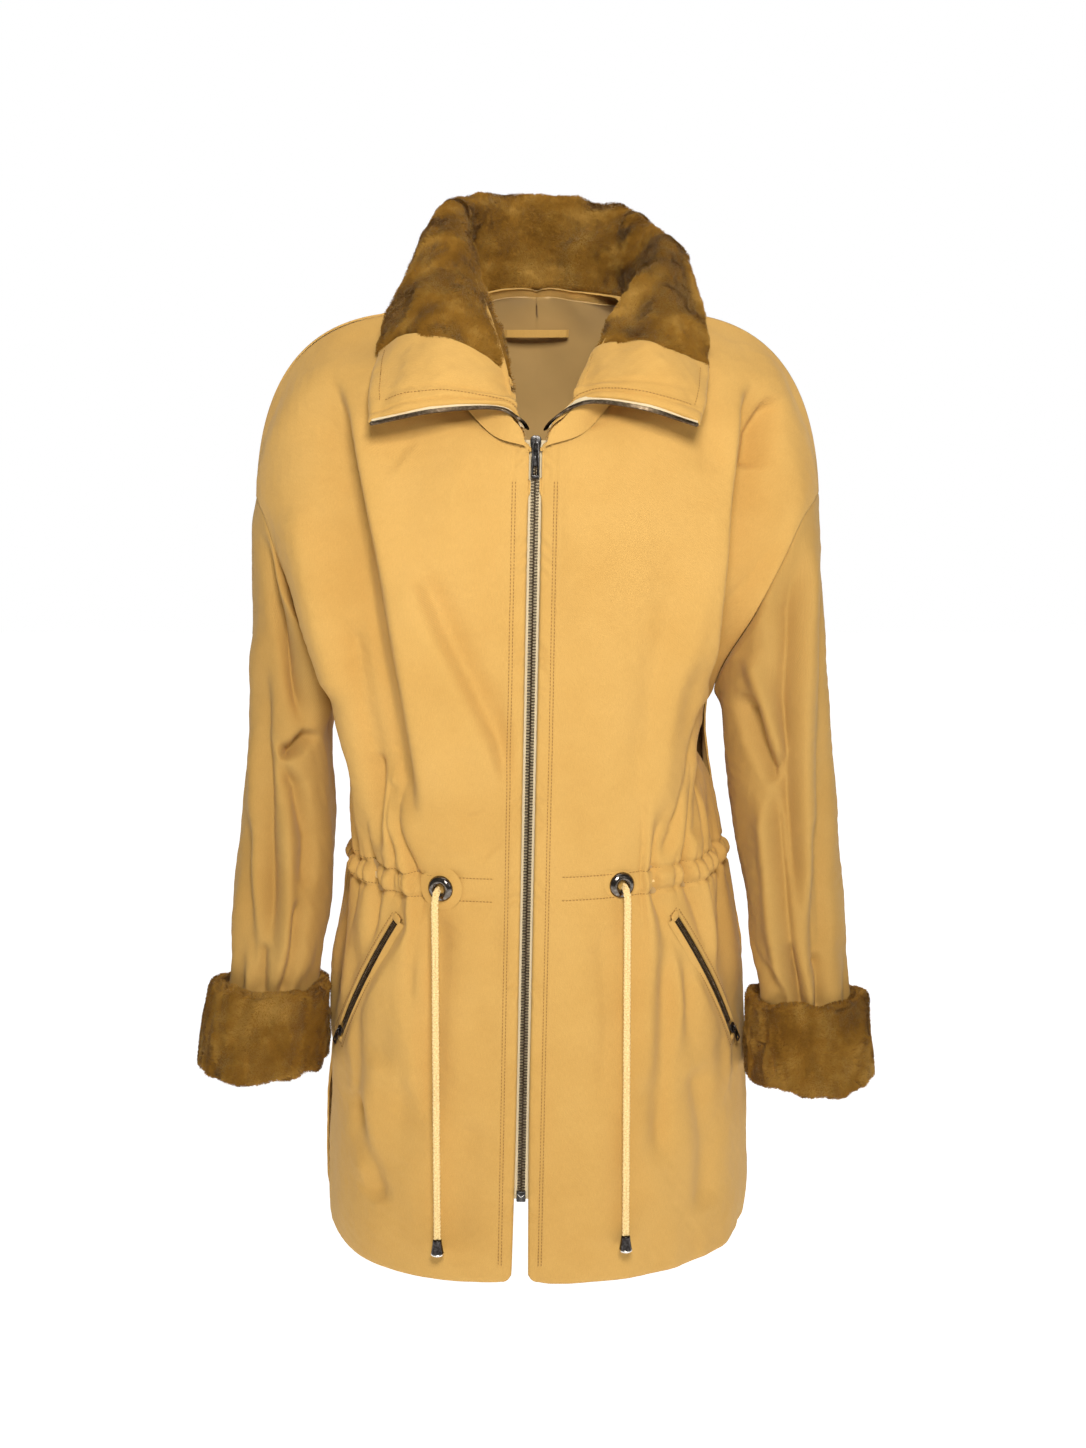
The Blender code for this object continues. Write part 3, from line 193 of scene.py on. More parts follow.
COLLAR_STATIONS = [
    [(-.0060, -.1180, -.1000), (-.0135, -.1200, -.0780), (-.0310, -.1270, -.0653),
     (-.0850, -.1390, -.0655), (-.1440, -.1340, -.0774)],
    [(-.0400, -.1100, -.0880), (-.0300, -.1120, -.0700), (-.0207, -.1080, -.0540),
     (-.0830, -.1250, -.0380), (-.1455, -.1050, -.0560)],
    [(-.0780, -.0780, -.0450), (-.0560, -.0780, -.0230), (-.0335, -.0700, .0000),
     (-.0900, -.0900, .0020), (-.1420, -.0550, -.0210)],
    [(-.0870, -.0180, -.0010), (-.0710, -.0220, .0280), (-.0516, -.0300, .0530),
     (-.0930, -.0420, .0480), (-.1310, -.0180, .0190)],
    [(-.0800, .0300, .0180), (-.0720, .0300, .0550), (-.0640, .0220, .0950),
     (-.0880, .0200, .0960), (-.1100, .0140, .0620)],
    [(-.0500, .0560, .0270), (-.0520, .0640, .0620), (-.0500, .0700, .0990),
     (-.0600, .0830, .1110), (-.0720, .0980, .1040)],
    [(.0000, .0660, .0290), (.0000, .0750, .0600), (.0000, .0830, .0920),
     (.0000, .0940, .1100), (.0000, .1080, .1120)],
    [(.0500, .0560, .0270), (.0570, .0620, .0550), (.0640, .0660, .0800),
     (.0700, .0710, .0970), (.0770, .0800, .1060)],
    [(.0800, .0300, .0180), (.0850, .0300, .0450), (.0920, .0270, .0660),
     (.1010, .0250, .0800), (.1120, .0200, .0810)],
    [(.0870, -.0180, -.0010), (.0910, -.0130, .0330), (.0985, -.0060, .0620),
     (.1160, -.0150, .0720), (.1380, -.0140, .0500)],
    [(.0780, -.0780, -.0450), (.0780, -.0640, -.0100), (.0730, -.0550, .0140),
     (.1150, -.0760, .0100), (.1515, -.0500, -.0040)],
    [(.0420, -.1100, -.0870), (.0440, -.1080, -.0620), (.0410, -.1010, -.0400),
     (.0950, -.1260, -.0330), (.1510, -.0980, -.0500)],
    [(.0060, -.1180, -.1000), (.0150, -.1200, -.0780), (.0420, -.1260, -.0595),
     (.0920, -.1390, -.0635), (.1414, -.1340, -.0790)],
]
CUFFS = {
    "right": ((.2500, -.043, -.610), (.2620, -.050, -.690), .0520, .0580),
    "left": ((.2530, -.044, -.622), (.2600, -.051, -.702), .0520, .0580),
}
POCKET_POINTS = [(.1280, -.530), (.1600, -.592), (.1850, -.6585)]
CORD_ROUTE = [(.0052, 0, 0, 0), (.0095, 0, 0, -.001), (.0135, 0, 0, -.006),
              (.0150, 0, 0, -.015), (.0150, 0, -.001, -.030), (.0150, 0, -.003, -.060),
              (.0150, 0, -.007, -.110), (.0150, 0, -.012, -.170), (.0150, 0, -.017, -.230),
              (.0150, 0, -.021, -.290), (.0150, 0, -.0225, -.322)]


def through(values, knots, t):
    """Smooth curve through the values, one at each knot, read at every t."""
    t = np.clip(np.asarray(t, float), knots[0], knots[-1])
    span = np.clip(np.searchsorted(knots, t, side="right") - 1, 0, len(knots) - 2)
    width = knots[span + 1] - knots[span]
    f = (t - knots[span]) / width
    slopes = np.gradient(values, knots, axis=0)
    extra = (1,) * (values.ndim - 1)
    f = f.reshape(f.shape + extra)
    width = width.reshape(width.shape + extra)
    return hermite(values[span], values[span + 1], slopes[span], slopes[span + 1], width, f)


def hermite(near, far, near_slope, far_slope, width, f):
    return (near * (1 + 2 * f) * (1 - f) ** 2 + near_slope * width * f * (1 - f) ** 2
            + far * f * f * (3 - 2 * f) - far_slope * width * f * f * (1 - f))


def through_each(values, knots, t):
    """As through, where every place has its own values: (knot, place, 3) read at t."""
    t = np.clip(np.asarray(t, float), knots[0], knots[-1])
    span = np.clip(np.searchsorted(knots, t, side="right") - 1, 0, len(knots) - 2)
    width = (knots[span + 1] - knots[span])[:, None]
    f = (t - knots[span])[:, None] / width
    slopes = np.gradient(values, knots, axis=0)
    at = np.arange(len(t))
    return hermite(values[span, at], values[span + 1, at], slopes[span, at],
                   slopes[span + 1, at], width, f)


def row_knots(rows):
    steps = np.linalg.norm(np.diff(rows, axis=0), axis=2).mean(axis=1)
    return np.concatenate([[0.0], np.cumsum(steps)]) / steps.sum()


def bezier(points, u):
    u = np.asarray(u, float)[..., None]
    return (points[..., 0, :] * (1 - u) ** 3 + 3 * points[..., 1, :] * u * (1 - u) ** 2
            + 3 * points[..., 2, :] * u * u * (1 - u) + points[..., 3, :] * u ** 3)


def zip_x(z):
    """The zip's sideways place at a height."""
    share = np.clip((ZIP_TOP.z - z) / (ZIP_TOP.z - ZIP_END.z), 0.0, 1.1)
    return ZIP_END.x * share


class Panel:
    """A body panel: u runs from the centre line to the side, v from the hem up."""

    def __init__(self, rows, side):
        self.rows = np.array(rows, float)
        self.rows[:, :, 0] *= side
        front = self.rows[:, :2, 1] < 0
        self.rows[:, :2, 0] += np.where(front, zip_x(self.rows[:, :2, 2]), 0.0)
        self.knots = row_knots(self.rows)
        self.side = side

    def __call__(self, u, v):
        return bezier(through(self.rows, self.knots, v), u)


def back_rows(front_rows):
    rows = []
    for index, inner in enumerate(BACK_INNER_ROWS):
        if UNDERARM_ROW < index < len(BACK_INNER_ROWS) - 1:
            edge = BACK_ARMHOLE[index - UNDERARM_ROW - 1]
        else:
            edge = front_rows[index][3]
        rows.append(list(inner) + [edge])
    return rows


FRONTS = {"left": Panel(FRONT_LEFT_ROWS, 1), "right": Panel(FRONT_RIGHT_ROWS, -1)}
BACKS = {"left": Panel(back_rows(FRONT_LEFT_ROWS), 1),
         "right": Panel(back_rows(FRONT_RIGHT_ROWS), -1)}


def whole_back(u, v):
    left = BACKS["left"](np.abs(u), v)
    right = BACKS["right"](np.abs(u), v)
    return np.where((u >= 0)[..., None], left, right)


class Sleeve:
    """u goes once round the arm from the shoulder tip over the front, v to the wrist."""

    def __init__(self, side):
        self.sign = SIDES[side]
        self.front = FRONTS[side]
        self.back = BACKS[side]
        self.rings = SLEEVE_RINGS[side]
        heights = np.array([0.0] + [-ring[2] for ring in self.rings])
        heights[0] = heights[1] - 0.09
        self.knots = (heights - heights[0]) / (heights[-1] - heights[0])

    def armhole(self, u):
        low = self.front.knots[UNDERARM_ROW]
        low_back = self.back.knots[UNDERARM_ROW]
        u = np.asarray(u, float) % 1.0
        down = np.minimum(u, 0.5) * 2
        up = np.maximum(u - 0.5, 0.0) * 2
        ones = np.ones_like(u)
        front = self.front(ones, 1 - down * (1 - low))
        back = self.back(ones, low_back + up * (1 - low_back))
        return np.where((u < 0.5)[..., None], front, back)

    def ring(self, values, u):
        x, y, z, half_width, half_depth, drop = values
        turn = 2 * np.pi * np.asarray(u, float)
        outward = np.cos(turn)
        return np.stack([self.sign * (x + half_width * outward), y - half_depth * np.sin(turn),
                         z + drop * outward / 2], axis=-1)

    def __call__(self, u, v):
        u, v = np.broadcast_arrays(np.asarray(u, float), np.asarray(v, float))
        flat = u.reshape(-1)
        loops = np.stack([self.armhole(flat)] + [self.ring(r, flat) for r in self.rings])
        return through_each(loops, self.knots, v.reshape(-1)).reshape(u.shape + (3,))


SLEEVES = {side: Sleeve(side) for side in SIDES}
COLLAR_POINTS = np.array(COLLAR_STATIONS, float)
COLLAR_LAST = len(COLLAR_STATIONS) - 1.0


def collar(u, v):
    """The collar's plush face: u counts stations, v runs from the neck seam to the top."""
    u, v = np.broadcast_arrays(np.asarray(u, float), np.asarray(v, float))
    stations = np.arange(len(COLLAR_STATIONS), dtype=float)
    across = through(COLLAR_POINTS, stations, u.reshape(-1)).swapaxes(0, 1)
    heights = np.linspace(0, 1, 5)
    return through_each(across, heights, v.reshape(-1)).reshape(u.shape + (3,))


# ---------------------------------------------------------------- numbers and fields
def smoothstep(low, high, x):
    t = np.clip((x - low) / (high - low), 0.0, 1.0)
    return t * t * (3 - 2 * t)


def bell(x, width):
    return np.exp(-(x / width) ** 2)


def waves(points, size, seed, count=16):
    """A smooth random field of about unit height, its bumps about size across."""
    rng = np.random.default_rng(seed)
    points = np.asarray(points, float)
    total = np.zeros(points.shape[:-1])
    for _ in range(count):
        direction = rng.normal(size=points.shape[-1])
        direction /= np.linalg.norm(direction)
        pace = 2 * np.pi / size * rng.uniform(0.55, 1.45)
        total += np.sin(points @ direction * pace + rng.uniform(0, 2 * np.pi))
    return total / math.sqrt(count / 2)


def line_field(x, z, points):
    """Signed distance to a line of points in the front view, and the share along it."""
    points = np.array(points, float)
    best = np.full(x.shape, 1e9)
    signed = np.zeros(x.shape)
    share = np.zeros(x.shape)
    steps = np.linalg.norm(np.diff(points, axis=0), axis=1)
    length = steps.sum()
    done = 0.0
    for a, b, step in zip(points[:-1], points[1:], steps):
        along = (b - a) / step
        dx, dz = x - a[0], z - a[1]
        t = np.clip(dx * along[0] + dz * along[1], 0, step)
        off_x, off_z = dx - along[0] * t, dz - along[1] * t
        distance = np.hypot(off_x, off_z)
        side = np.sign(dx * along[1] - dz * along[0])
        nearer = distance < best
        best = np.where(nearer, distance, best)
        signed = np.where(nearer, distance * -side, signed)
        share = np.where(nearer, (done + t) / length, share)
        done += step
    return signed, share


def fold(x, z, points, left_width, right_width, height, start=0.15, end=0.15):
    """A ridge, or a valley where height is negative, along a line from top to bottom.

    left_width and right_width are how far it spreads towards -X and +X.
    """
    signed, share = line_field(x, z, points)
    width = np.where(signed < 0, left_width, right_width)
    ends = smoothstep(0, start, share) * smoothstep(1, 1 - end, share)
    return height * np.exp(-(signed / width) ** 2) * ends


def grid_normals(points, wrap=False):
    """Unit normals of a grid of points, its columns turned towards its rows."""
    if wrap:
        along = np.roll(points, -1, axis=1) - np.roll(points, 1, axis=1)
    else:
        along = np.gradient(points, axis=1)
    up = np.gradient(points, axis=0)
    cross = np.cross(along, up)
    return cross / np.maximum(np.linalg.norm(cross, axis=-1, keepdims=True), 1e-12)


# ---------------------------------------------------------------- materials
class Look:
    """A material built from nodes, with short calls for the links it needs."""

    def __init__(self, name):
        self.material = bpy.data.materials.new(name)
        self.material.use_nodes = True
        self.nodes = self.material.node_tree.nodes
        self.links = self.material.node_tree.links
        self.shader = self.nodes["Principled BSDF"]

    def add(self, kind, inputs=(), **settings):
        node = self.nodes.new(kind)
        for name, value in settings.items():
            setattr(node, name, value)
        for socket, value in dict(inputs).items():
            if isinstance(value, bpy.types.NodeSocket):
                self.links.new(value, node.inputs[socket])
            else:
                node.inputs[socket].default_value = value
        return node

    def set(self, **values):
        names = {"colour": "Base Color", "roughness": "Roughness", "metallic": "Metallic",
                 "sheen": "Sheen Weight", "sheen_roughness": "Sheen Roughness",
                 "sheen_tint": "Sheen Tint", "coat": "Coat Weight",
                 "coat_roughness": "Coat Roughness", "normal": "Normal",
                 "specular": "Specular IOR Level", "subsurface": "Subsurface Weight"}
        for key, value in values.items():
            socket = self.shader.inputs[names[key]]
            if isinstance(value, bpy.types.NodeSocket):
                self.links.new(value, socket)
            else:
                socket.default_value = value

    def place(self, kind="Object"):
        return self.add("ShaderNodeTexCoord").outputs[kind]

    def noise(self, vector, scale, detail=3.0, rough=0.5):
        inputs = {"Vector": vector, "Scale": scale, "Detail": detail, "Roughness": rough}
        return self.add("ShaderNodeTexNoise", inputs)

    def stretched(self, vector, scale):
        inputs = {"Vector": vector, "Scale": scale}
        return self.add("ShaderNodeMapping", inputs).outputs["Vector"]

    def ramp(self, value, stops):
        node = self.add("ShaderNodeValToRGB", {"Fac": value})
        ramp = node.color_ramp
        while len(ramp.elements) < len(stops):
            ramp.elements.new(0.5)
        for element, (position, colour) in zip(ramp.elements, stops):
            element.position = position
            element.color = (*colour, 1.0)
        return node.outputs["Color"]

    def mix(self, amount, first, second, blend="MIX"):
        node = self.add("ShaderNodeMix", data_type="RGBA", blend_type=blend)
        for index, value in ((0, amount), (6, first), (7, second)):
            if isinstance(value, bpy.types.NodeSocket):
                self.links.new(value, node.inputs[index])
            elif isinstance(value, tuple):
                node.inputs[index].default_value = (*value, 1.0)
            else:
                node.inputs[index].default_value = value
        return node.outputs[2]

    def bump(self, height, strength, distance, normal=None):
        inputs = {"Height": height, "Strength": strength, "Distance": distance}
        if normal is not None:
            inputs["Normal"] = normal
        return self.add("ShaderNodeBump", inputs).outputs["Normal"]


def twill_look(name, colour, weave=0.35, shade=1.0):
    """Brushed cotton twill: fine diagonal wale, slubs along the yarn, soft fading."""
    look = Look(name)
    place = look.place()
    cloth = look.place("UV")
    # A shade below 1 darkens the whole cloth colour evenly: painted shade, used for the sleeves'
    # copy of the twill.
    tone = tuple(c * shade for c in colour)
    dark = (tone[0] * 0.86, tone[1] * 0.80, tone[2] * 0.68)
    light = (min(1.0, tone[0] * 1.07), tone[1] * 1.10, tone[2] * 1.22)
    broad = look.noise(place, 9.0, 4.0, 0.6).outputs["Fac"]
    base = look.ramp(broad, [(0.30, dark), (0.52, tone), (0.75, light)])
    base = look.mix(0.45, tone, base)
    yarn = look.noise(look.stretched(cloth, (2600.0, 160.0, 1.0)), 1.0, 2.0).outputs["Fac"]
    base = look.mix(0.13, base, look.ramp(yarn, [(0.25, (0.35, 0.28, 0.2)), (0.7, (1, 1, 1))]),
                    "MULTIPLY")
    grain = look.noise(place, 900.0, 2.0, 0.7).outputs["Fac"]
    base = look.mix(0.10, base, look.ramp(grain, [(0.3, (0.3, 0.22, 0.12)), (0.7, (1, 1, 1))]),
                    "MULTIPLY")
    wale = look.add("ShaderNodeTexWave", {
        "Vector": look.add("ShaderNodeMapping", {"Vector": cloth,
                                                 "Rotation": (0, 0, 0.95)}).outputs["Vector"],
        "Scale": 260.0, "Distortion": 1.2, "Detail": 2.0, "Detail Scale": 1.5},
        wave_type="BANDS", bands_direction="X").outputs["Fac"]
    normal = look.bump(wale, weave, 0.0004)
    normal = look.bump(grain, weave * 0.8, 0.0005, normal)
    look.set(colour=base, roughness=0.88, normal=normal, specular=0.22, sheen=0.12,
             sheen_roughness=0.45, sheen_tint=(1.0, 0.86, 0.62, 1.0))
    return look.material


def plush_look(name, dark, middle, light):
    """Short brushed pile: soft patches where the pile lies one way or the other."""
    look = Look(name)
    place = look.place()
    swirl = look.noise(place, 46.0, 5.0, 0.62)
    patch = look.noise(place, 17.0, 3.0, 0.5).outputs["Fac"]
    curls = swirl.outputs["Fac"]
    base = look.ramp(curls, [(0.32, dark), (0.5, middle), (0.68, light)])
    soft = look.ramp(patch, [(0.36, dark), (0.55, middle), (0.7, light)])
    base = look.mix(0.5, base, soft)
    fibre = look.noise(place, 1500.0, 2.0, 0.8).outputs["Fac"]
    base = look.mix(0.35, base, look.ramp(fibre, [(0.3, (0.35, 0.25, 0.14)), (0.7, (1, 1, 1))]),
                    "MULTIPLY")
    normal = look.bump(curls, 0.5, 0.003)
    normal = look.bump(fibre, 0.6, 0.001, normal)
    look.set(colour=base, roughness=0.95, normal=normal, specular=0.1, sheen=0.16,
             sheen_roughness=0.35, sheen_tint=(1.0, 0.82, 0.55, 1.0))
    return look.material


def metal_look(name, colour, roughness, wear=0.25):
    """Plated metal, a little brighter and smoother in worn patches."""
    look = Look(name)
    place = look.place()
    patch = look.noise(place, 400.0, 3.0, 0.6).outputs["Fac"]
    worn = tuple(min(1.0, c * 2.2 + 0.05) for c in colour)
    base = look.ramp(patch, [(0.45, colour), (0.8, worn)])
    rough = look.add("ShaderNodeMapRange", {"Value": patch, "To Min": roughness + wear * 0.3,
                                            "To Max": roughness}).outputs["Result"]
    scratch = look.noise(look.stretched(place, (900.0, 900.0, 5000.0)), 1.0, 2.0).outputs["Fac"]
    look.set(colour=base, metallic=1.0, roughness=rough,
             normal=look.bump(scratch, 0.08, 0.0002))
    return look.material


def satin_look(name, colour):
    look = Look(name)
    place = look.place()
    broad = look.noise(place, 12.0, 3.0).outputs["Fac"]
    dark = tuple(c * 0.8 for c in colour)
    base = look.ramp(broad, [(0.35, dark), (0.65, colour)])
    thread = look.noise(look.stretched(place, (300.0, 300.0, 2600.0)), 1.0, 2.0).outputs["Fac"]
    look.set(colour=base, roughness=0.42, specular=0.45, sheen=0.1,
             normal=look.bump(thread, 0.15, 0.0003))
    return look.material


def tape_look(name, colour):
    """Woven tape: a fine herringbone across its width."""
    look = Look(name)
    cloth = look.place("UV")
    rib = look.add("ShaderNodeTexWave", {"Vector": cloth, "Scale": 420.0, "Distortion": 1.5},
                   wave_type="BANDS", bands_direction="Y").outputs["Fac"]
    base = look.ramp(rib, [(0.2, tuple(c * 0.7 for c in colour)), (0.7, colour)])
    look.set(colour=base, roughness=0.85, specular=0.2, normal=look.bump(rib, 0.5, 0.0004))
    return look.material


def cord_look(name, dark, light):
    """Braided cotton: yarn colour varies strand by strand, over the modelled braid."""
    look = Look(name)
    cloth = look.place("UV")
    strand = look.noise(look.stretched(cloth, (500.0, 900.0, 1.0)), 1.0, 2.0).outputs["Fac"]
    base = look.ramp(strand, [(0.3, dark), (0.65, light)])
    fuzz = look.noise(look.place(), 2500.0, 2.0).outputs["Fac"]
    look.set(colour=base, roughness=0.85, specular=0.25, sheen=0.15,
             normal=look.bump(fuzz, 0.3, 0.0003))
    return look.material


TWILL_COLOUR = (0.61, 0.358, 0.098)
TWILL = twill_look("twill_cloth", TWILL_COLOUR)
# The sleeves' copy of the twill is a fifth darker: painted shade for the dimmer light on the
# sleeves, the cloth itself being no darker than the body's.
TWILL_SLEEVE_PAINTED_SHADE = twill_look("twill_sleeve_painted_shade", TWILL_COLOUR, shade=0.80)
SEAM_THREAD = twill_look("seam_thread", (0.34, 0.18, 0.045), weave=0.1)
PILE = plush_look("plush_base", (0.20, 0.088, 0.011), (0.27, 0.128, 0.018), (0.36, 0.185, 0.032))
FIBRE = plush_look("plush_fibres", (0.22, 0.098, 0.012), (0.32, 0.155, 0.022), (0.54, 0.31, 0.070))
SATIN = satin_look("lining_satin", (0.55, 0.34, 0.12))
TOOTH_METAL = metal_look("zip_teeth_metal", (0.085, 0.060, 0.036), 0.36)
SLIDER_METAL = metal_look("zip_slider_metal", (0.045, 0.042, 0.040), 0.28)
EYELET_METAL = metal_look("eyelet_metal", (0.115, 0.100, 0.085), 0.10)
BELL_METAL = metal_look("cord_end_metal", (0.035, 0.030, 0.028), 0.14)
RIM_METAL = metal_look("cord_end_rim_metal", (0.62, 0.58, 0.52), 0.2)
TAPE = tape_look("zip_tape_weave", (0.80, 0.66, 0.42))
CORD = cord_look("braid_yarn", (0.62, 0.40, 0.14), (0.90, 0.68, 0.32))


# ---------------------------------------------------------------- mesh helpers
def dress(thing, look, replaces):
    """Give a piece its material and the nodes it stands for."""
    thing.data.materials.clear()
    thing.data.materials.append(look)
    if replaces:
        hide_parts(*replaces)


def keep(thing, look, body, replaces=()):
    """Give a new piece its body, its material and the nodes it stands for."""
    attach(thing, body)
    dress(thing, look, replaces)
    return thing


def link(name, mesh):
    thing = bpy.data.objects.new(name, mesh)
    bpy.context.scene.collection.objects.link(thing)
    return thing


def mesh_from(name, verts, faces, uv=None, smooth=True):
    """An object from arrays of points and of equal-sized faces, with a UV per point."""
    mesh = bpy.data.meshes.new(name)
    verts = np.asarray(verts, np.float32).reshape(-1, 3)
    faces = np.asarray(faces, np.int32)
    count, corners = faces.shape
    mesh.vertices.add(len(verts))
    mesh.vertices.foreach_set("co", verts.reshape(-1))
    mesh.loops.add(count * corners)
    mesh.loops.foreach_set("vertex_index", faces.reshape(-1))
    mesh.polygons.add(count)
    mesh.polygons.foreach_set("loop_start", np.arange(count, dtype=np.int32) * corners)
    mesh.polygons.foreach_set("use_smooth", np.full(count, smooth))
    mesh.update(calc_edges=True)
    if uv is not None:
        layer = mesh.uv_layers.new(name="cloth")
        layer.data.foreach_set("uv", np.asarray(uv, np.float32).reshape(-1, 2)[faces.reshape(-1)]
                               .reshape(-1))
    mesh.validate()
    return link(name, mesh)


def grid_faces(rows, columns, wrap=False, skip=None):
    r, c = np.meshgrid(np.arange(rows - 1), np.arange(columns if wrap else columns - 1),
                       indexing="ij")
    d = (c + 1) % columns
    faces = np.stack([r * columns + c, r * columns + d, (r + 1) * columns + d,
                      (r + 1) * columns + c], axis=-1)
    if skip is not None:
        faces = faces[~skip(r, c)]
    return faces.reshape(-1, 4)


def grid_uv(points):
    """Cloth coordinates in metres: along the middle row, and up the middle column."""
    rows, columns = points.shape[:2]
    across = np.linalg.norm(np.diff(points[rows // 2], axis=0), axis=1)
    upward = np.linalg.norm(np.diff(points[:, columns // 2], axis=0), axis=1)
    u = np.concatenate([[0], np.cumsum(across)])
    v = np.concatenate([[0], np.cumsum(upward)])
    return np.stack(np.meshgrid(u, v), axis=-1)


def grid_piece(name, points, outward, wrap=False, skip=None, rim=0.0):
    """A cloth surface from a grid; rim gives its open edges that much depth."""
    faces = grid_faces(points.shape[0], points.shape[1], wrap, skip)
    if outward < 0:
        faces = faces[:, ::-1]
    thing = mesh_from(name, points, faces, grid_uv(points))
    if rim:
        solid = thing.modifiers.new("rim", "SOLIDIFY")
        solid.thickness = rim
        solid.offset = -1
        solid.use_rim_only = True
    return thing


def lathe(name, profile, place, out, steps=48, smooth=True):
    """A turned piece: (radius, height) points spun round the outward axis."""
    turn = np.array(Vector((0, 0, 1)).rotation_difference(Vector(out)).to_matrix())
    angle = 2 * np.pi * np.arange(steps) / steps
    radius = np.array([p[0] for p in profile])[:, None]
    height = np.array([p[1] for p in profile])[:, None] + 0 * angle
    local = np.stack([radius * np.cos(angle), radius * np.sin(angle), height], axis=-1)
    points = local @ turn.T + np.array(place)
    thing = mesh_from(name, points, grid_faces(len(profile), steps, wrap=True), smooth=smooth)
    work = bmesh.new()
    work.from_mesh(thing.data)
    bmesh.ops.remove_doubles(work, verts=work.verts, dist=1e-6)
    bmesh.ops.recalc_face_normals(work, faces=work.faces)
    work.to_mesh(thing.data)
    work.free()
    return thing


def rounded(profile, radius, steps=3):
    """A profile with each inner corner cut into a short curve."""
    result = [profile[0]]
    for before, here, after in zip(profile[:-2], profile[1:-1], profile[2:]):
        here = np.array(here, float)
        back = np.array(before) - here
        ahead = np.array(after) - here
        reach = min(radius, np.linalg.norm(back) * 0.45, np.linalg.norm(ahead) * 0.45)
        start = here + back / np.linalg.norm(back) * reach
        end = here + ahead / np.linalg.norm(ahead) * reach
        for t in np.linspace(0, 1, steps + 1):
            result.append(tuple(start * (1 - t) ** 2 + 2 * here * t * (1 - t) + end * t ** 2))
    result.append(profile[-1])
    return result


def bars(name, starts, ends, ups, width, height, rings=4, sides=6):
    """Many small rounded bars, such as stitches, each from its start to its end."""
    starts, ends, ups = (np.asarray(a, float) for a in (starts, ends, ups))
    along = ends - starts
    along_unit = along / np.linalg.norm(along, axis=1, keepdims=True)
    ups = ups - along_unit * np.sum(ups * along_unit, axis=1, keepdims=True)
    ups /= np.linalg.norm(ups, axis=1, keepdims=True)
    cross = np.cross(along_unit, ups)
    share = np.linspace(0, 1, rings)
    swell = np.sqrt(np.maximum(1 - (2 * share - 1) ** 4, 0.03))
    angle = 2 * np.pi * np.arange(sides) / sides
    verts = (starts[:, None, None] + along[:, None, None] * share[None, :, None, None]
             + cross[:, None, None] * (np.cos(angle)[None, None, :, None]
                                       * swell[None, :, None, None] * width / 2)
             + ups[:, None, None] * (np.sin(angle)[None, None, :, None]
                                     * swell[None, :, None, None] * height / 2))
    one = grid_faces(rings, sides, wrap=True)
    count = len(starts)
    faces = (one[None] + (np.arange(count) * rings * sides)[:, None, None]).reshape(-1, 4)
    return mesh_from(name, verts, faces)


def walk(points, step):
    """Points every step along a line of points, in metres."""
    points = np.asarray(points, float)
    lengths = np.linalg.norm(np.diff(points, axis=0), axis=1)
    reach = np.concatenate([[0], np.cumsum(lengths)])
    places = np.arange(0, reach[-1], step)
    return np.stack([np.interp(places, reach, points[:, k]) for k in range(points.shape[1])],
                    axis=1)


STITCH_LENGTH = 0.0024
STITCH_PITCH = 0.0031


def stitched(lines):
    """Starts, ends and outward directions of stitches along (points, normals) lines."""
    starts, ends, ups = [], [], []
    for points, normals in lines:
        both = np.concatenate([np.asarray(points), np.asarray(normals)], axis=1)
        lengths = np.linalg.norm(np.diff(both[:, :3], axis=0), axis=1)
        reach = np.concatenate([[0], np.cumsum(lengths)])
        begin = np.arange(0.001, reach[-1] - STITCH_LENGTH, STITCH_PITCH)
        at = [np.interp(begin + more, reach, both[:, k]) for more in (0, STITCH_LENGTH)
              for k in range(6)]
        at = np.stack(at, axis=1)
        starts.append(at[:, :3])
        ends.append(at[:, 6:9])
        ups.append(at[:, 3:6])
    return np.concatenate(starts), np.concatenate(ends), np.concatenate(ups)


def stitch_bars(name, lines):
    """Lines of top-stitching, one short bar a stitch."""
    return bars(name, *stitched(lines), STITCH_WIDTH, STITCH_HEIGHT)


def tube(name, points, radius, sides=10, flat=1.0):
    """A plain tube along a line of points."""
    rings = tube_rings(points, np.full(len(points), radius), sides, flat)
    return mesh_from(name, rings, grid_faces(len(points), sides, wrap=True))


def frames_along(points):
    """Tangent, sideways and upward directions along a line, without twist."""
    points = np.asarray(points, float)
    tangent = np.gradient(points, axis=0)
    tangent /= np.linalg.norm(tangent, axis=1, keepdims=True)
    across = np.cross(tangent, np.array([0.0, -1.0, 0.0]))
    short = np.linalg.norm(across, axis=1, keepdims=True) < 0.2
    across = np.where(short, np.array([[1.0, 0.0, 0.0]]), across)
    across -= tangent * np.sum(across * tangent, axis=1, keepdims=True)
    across /= np.linalg.norm(across, axis=1, keepdims=True)
    return tangent, across, np.cross(across, tangent)


def tube_rings(points, radii, sides, flat=1.0):
    _, across, up = frames_along(points)
    angle = 2 * np.pi * np.arange(sides) / sides
    radii = np.asarray(radii)
    if radii.ndim == 1:
        radii = radii[:, None]
    return (np.asarray(points)[:, None] + across[:, None] * (np.cos(angle) * radii)[..., None]
            + up[:, None] * (np.sin(angle) * radii * flat)[..., None])


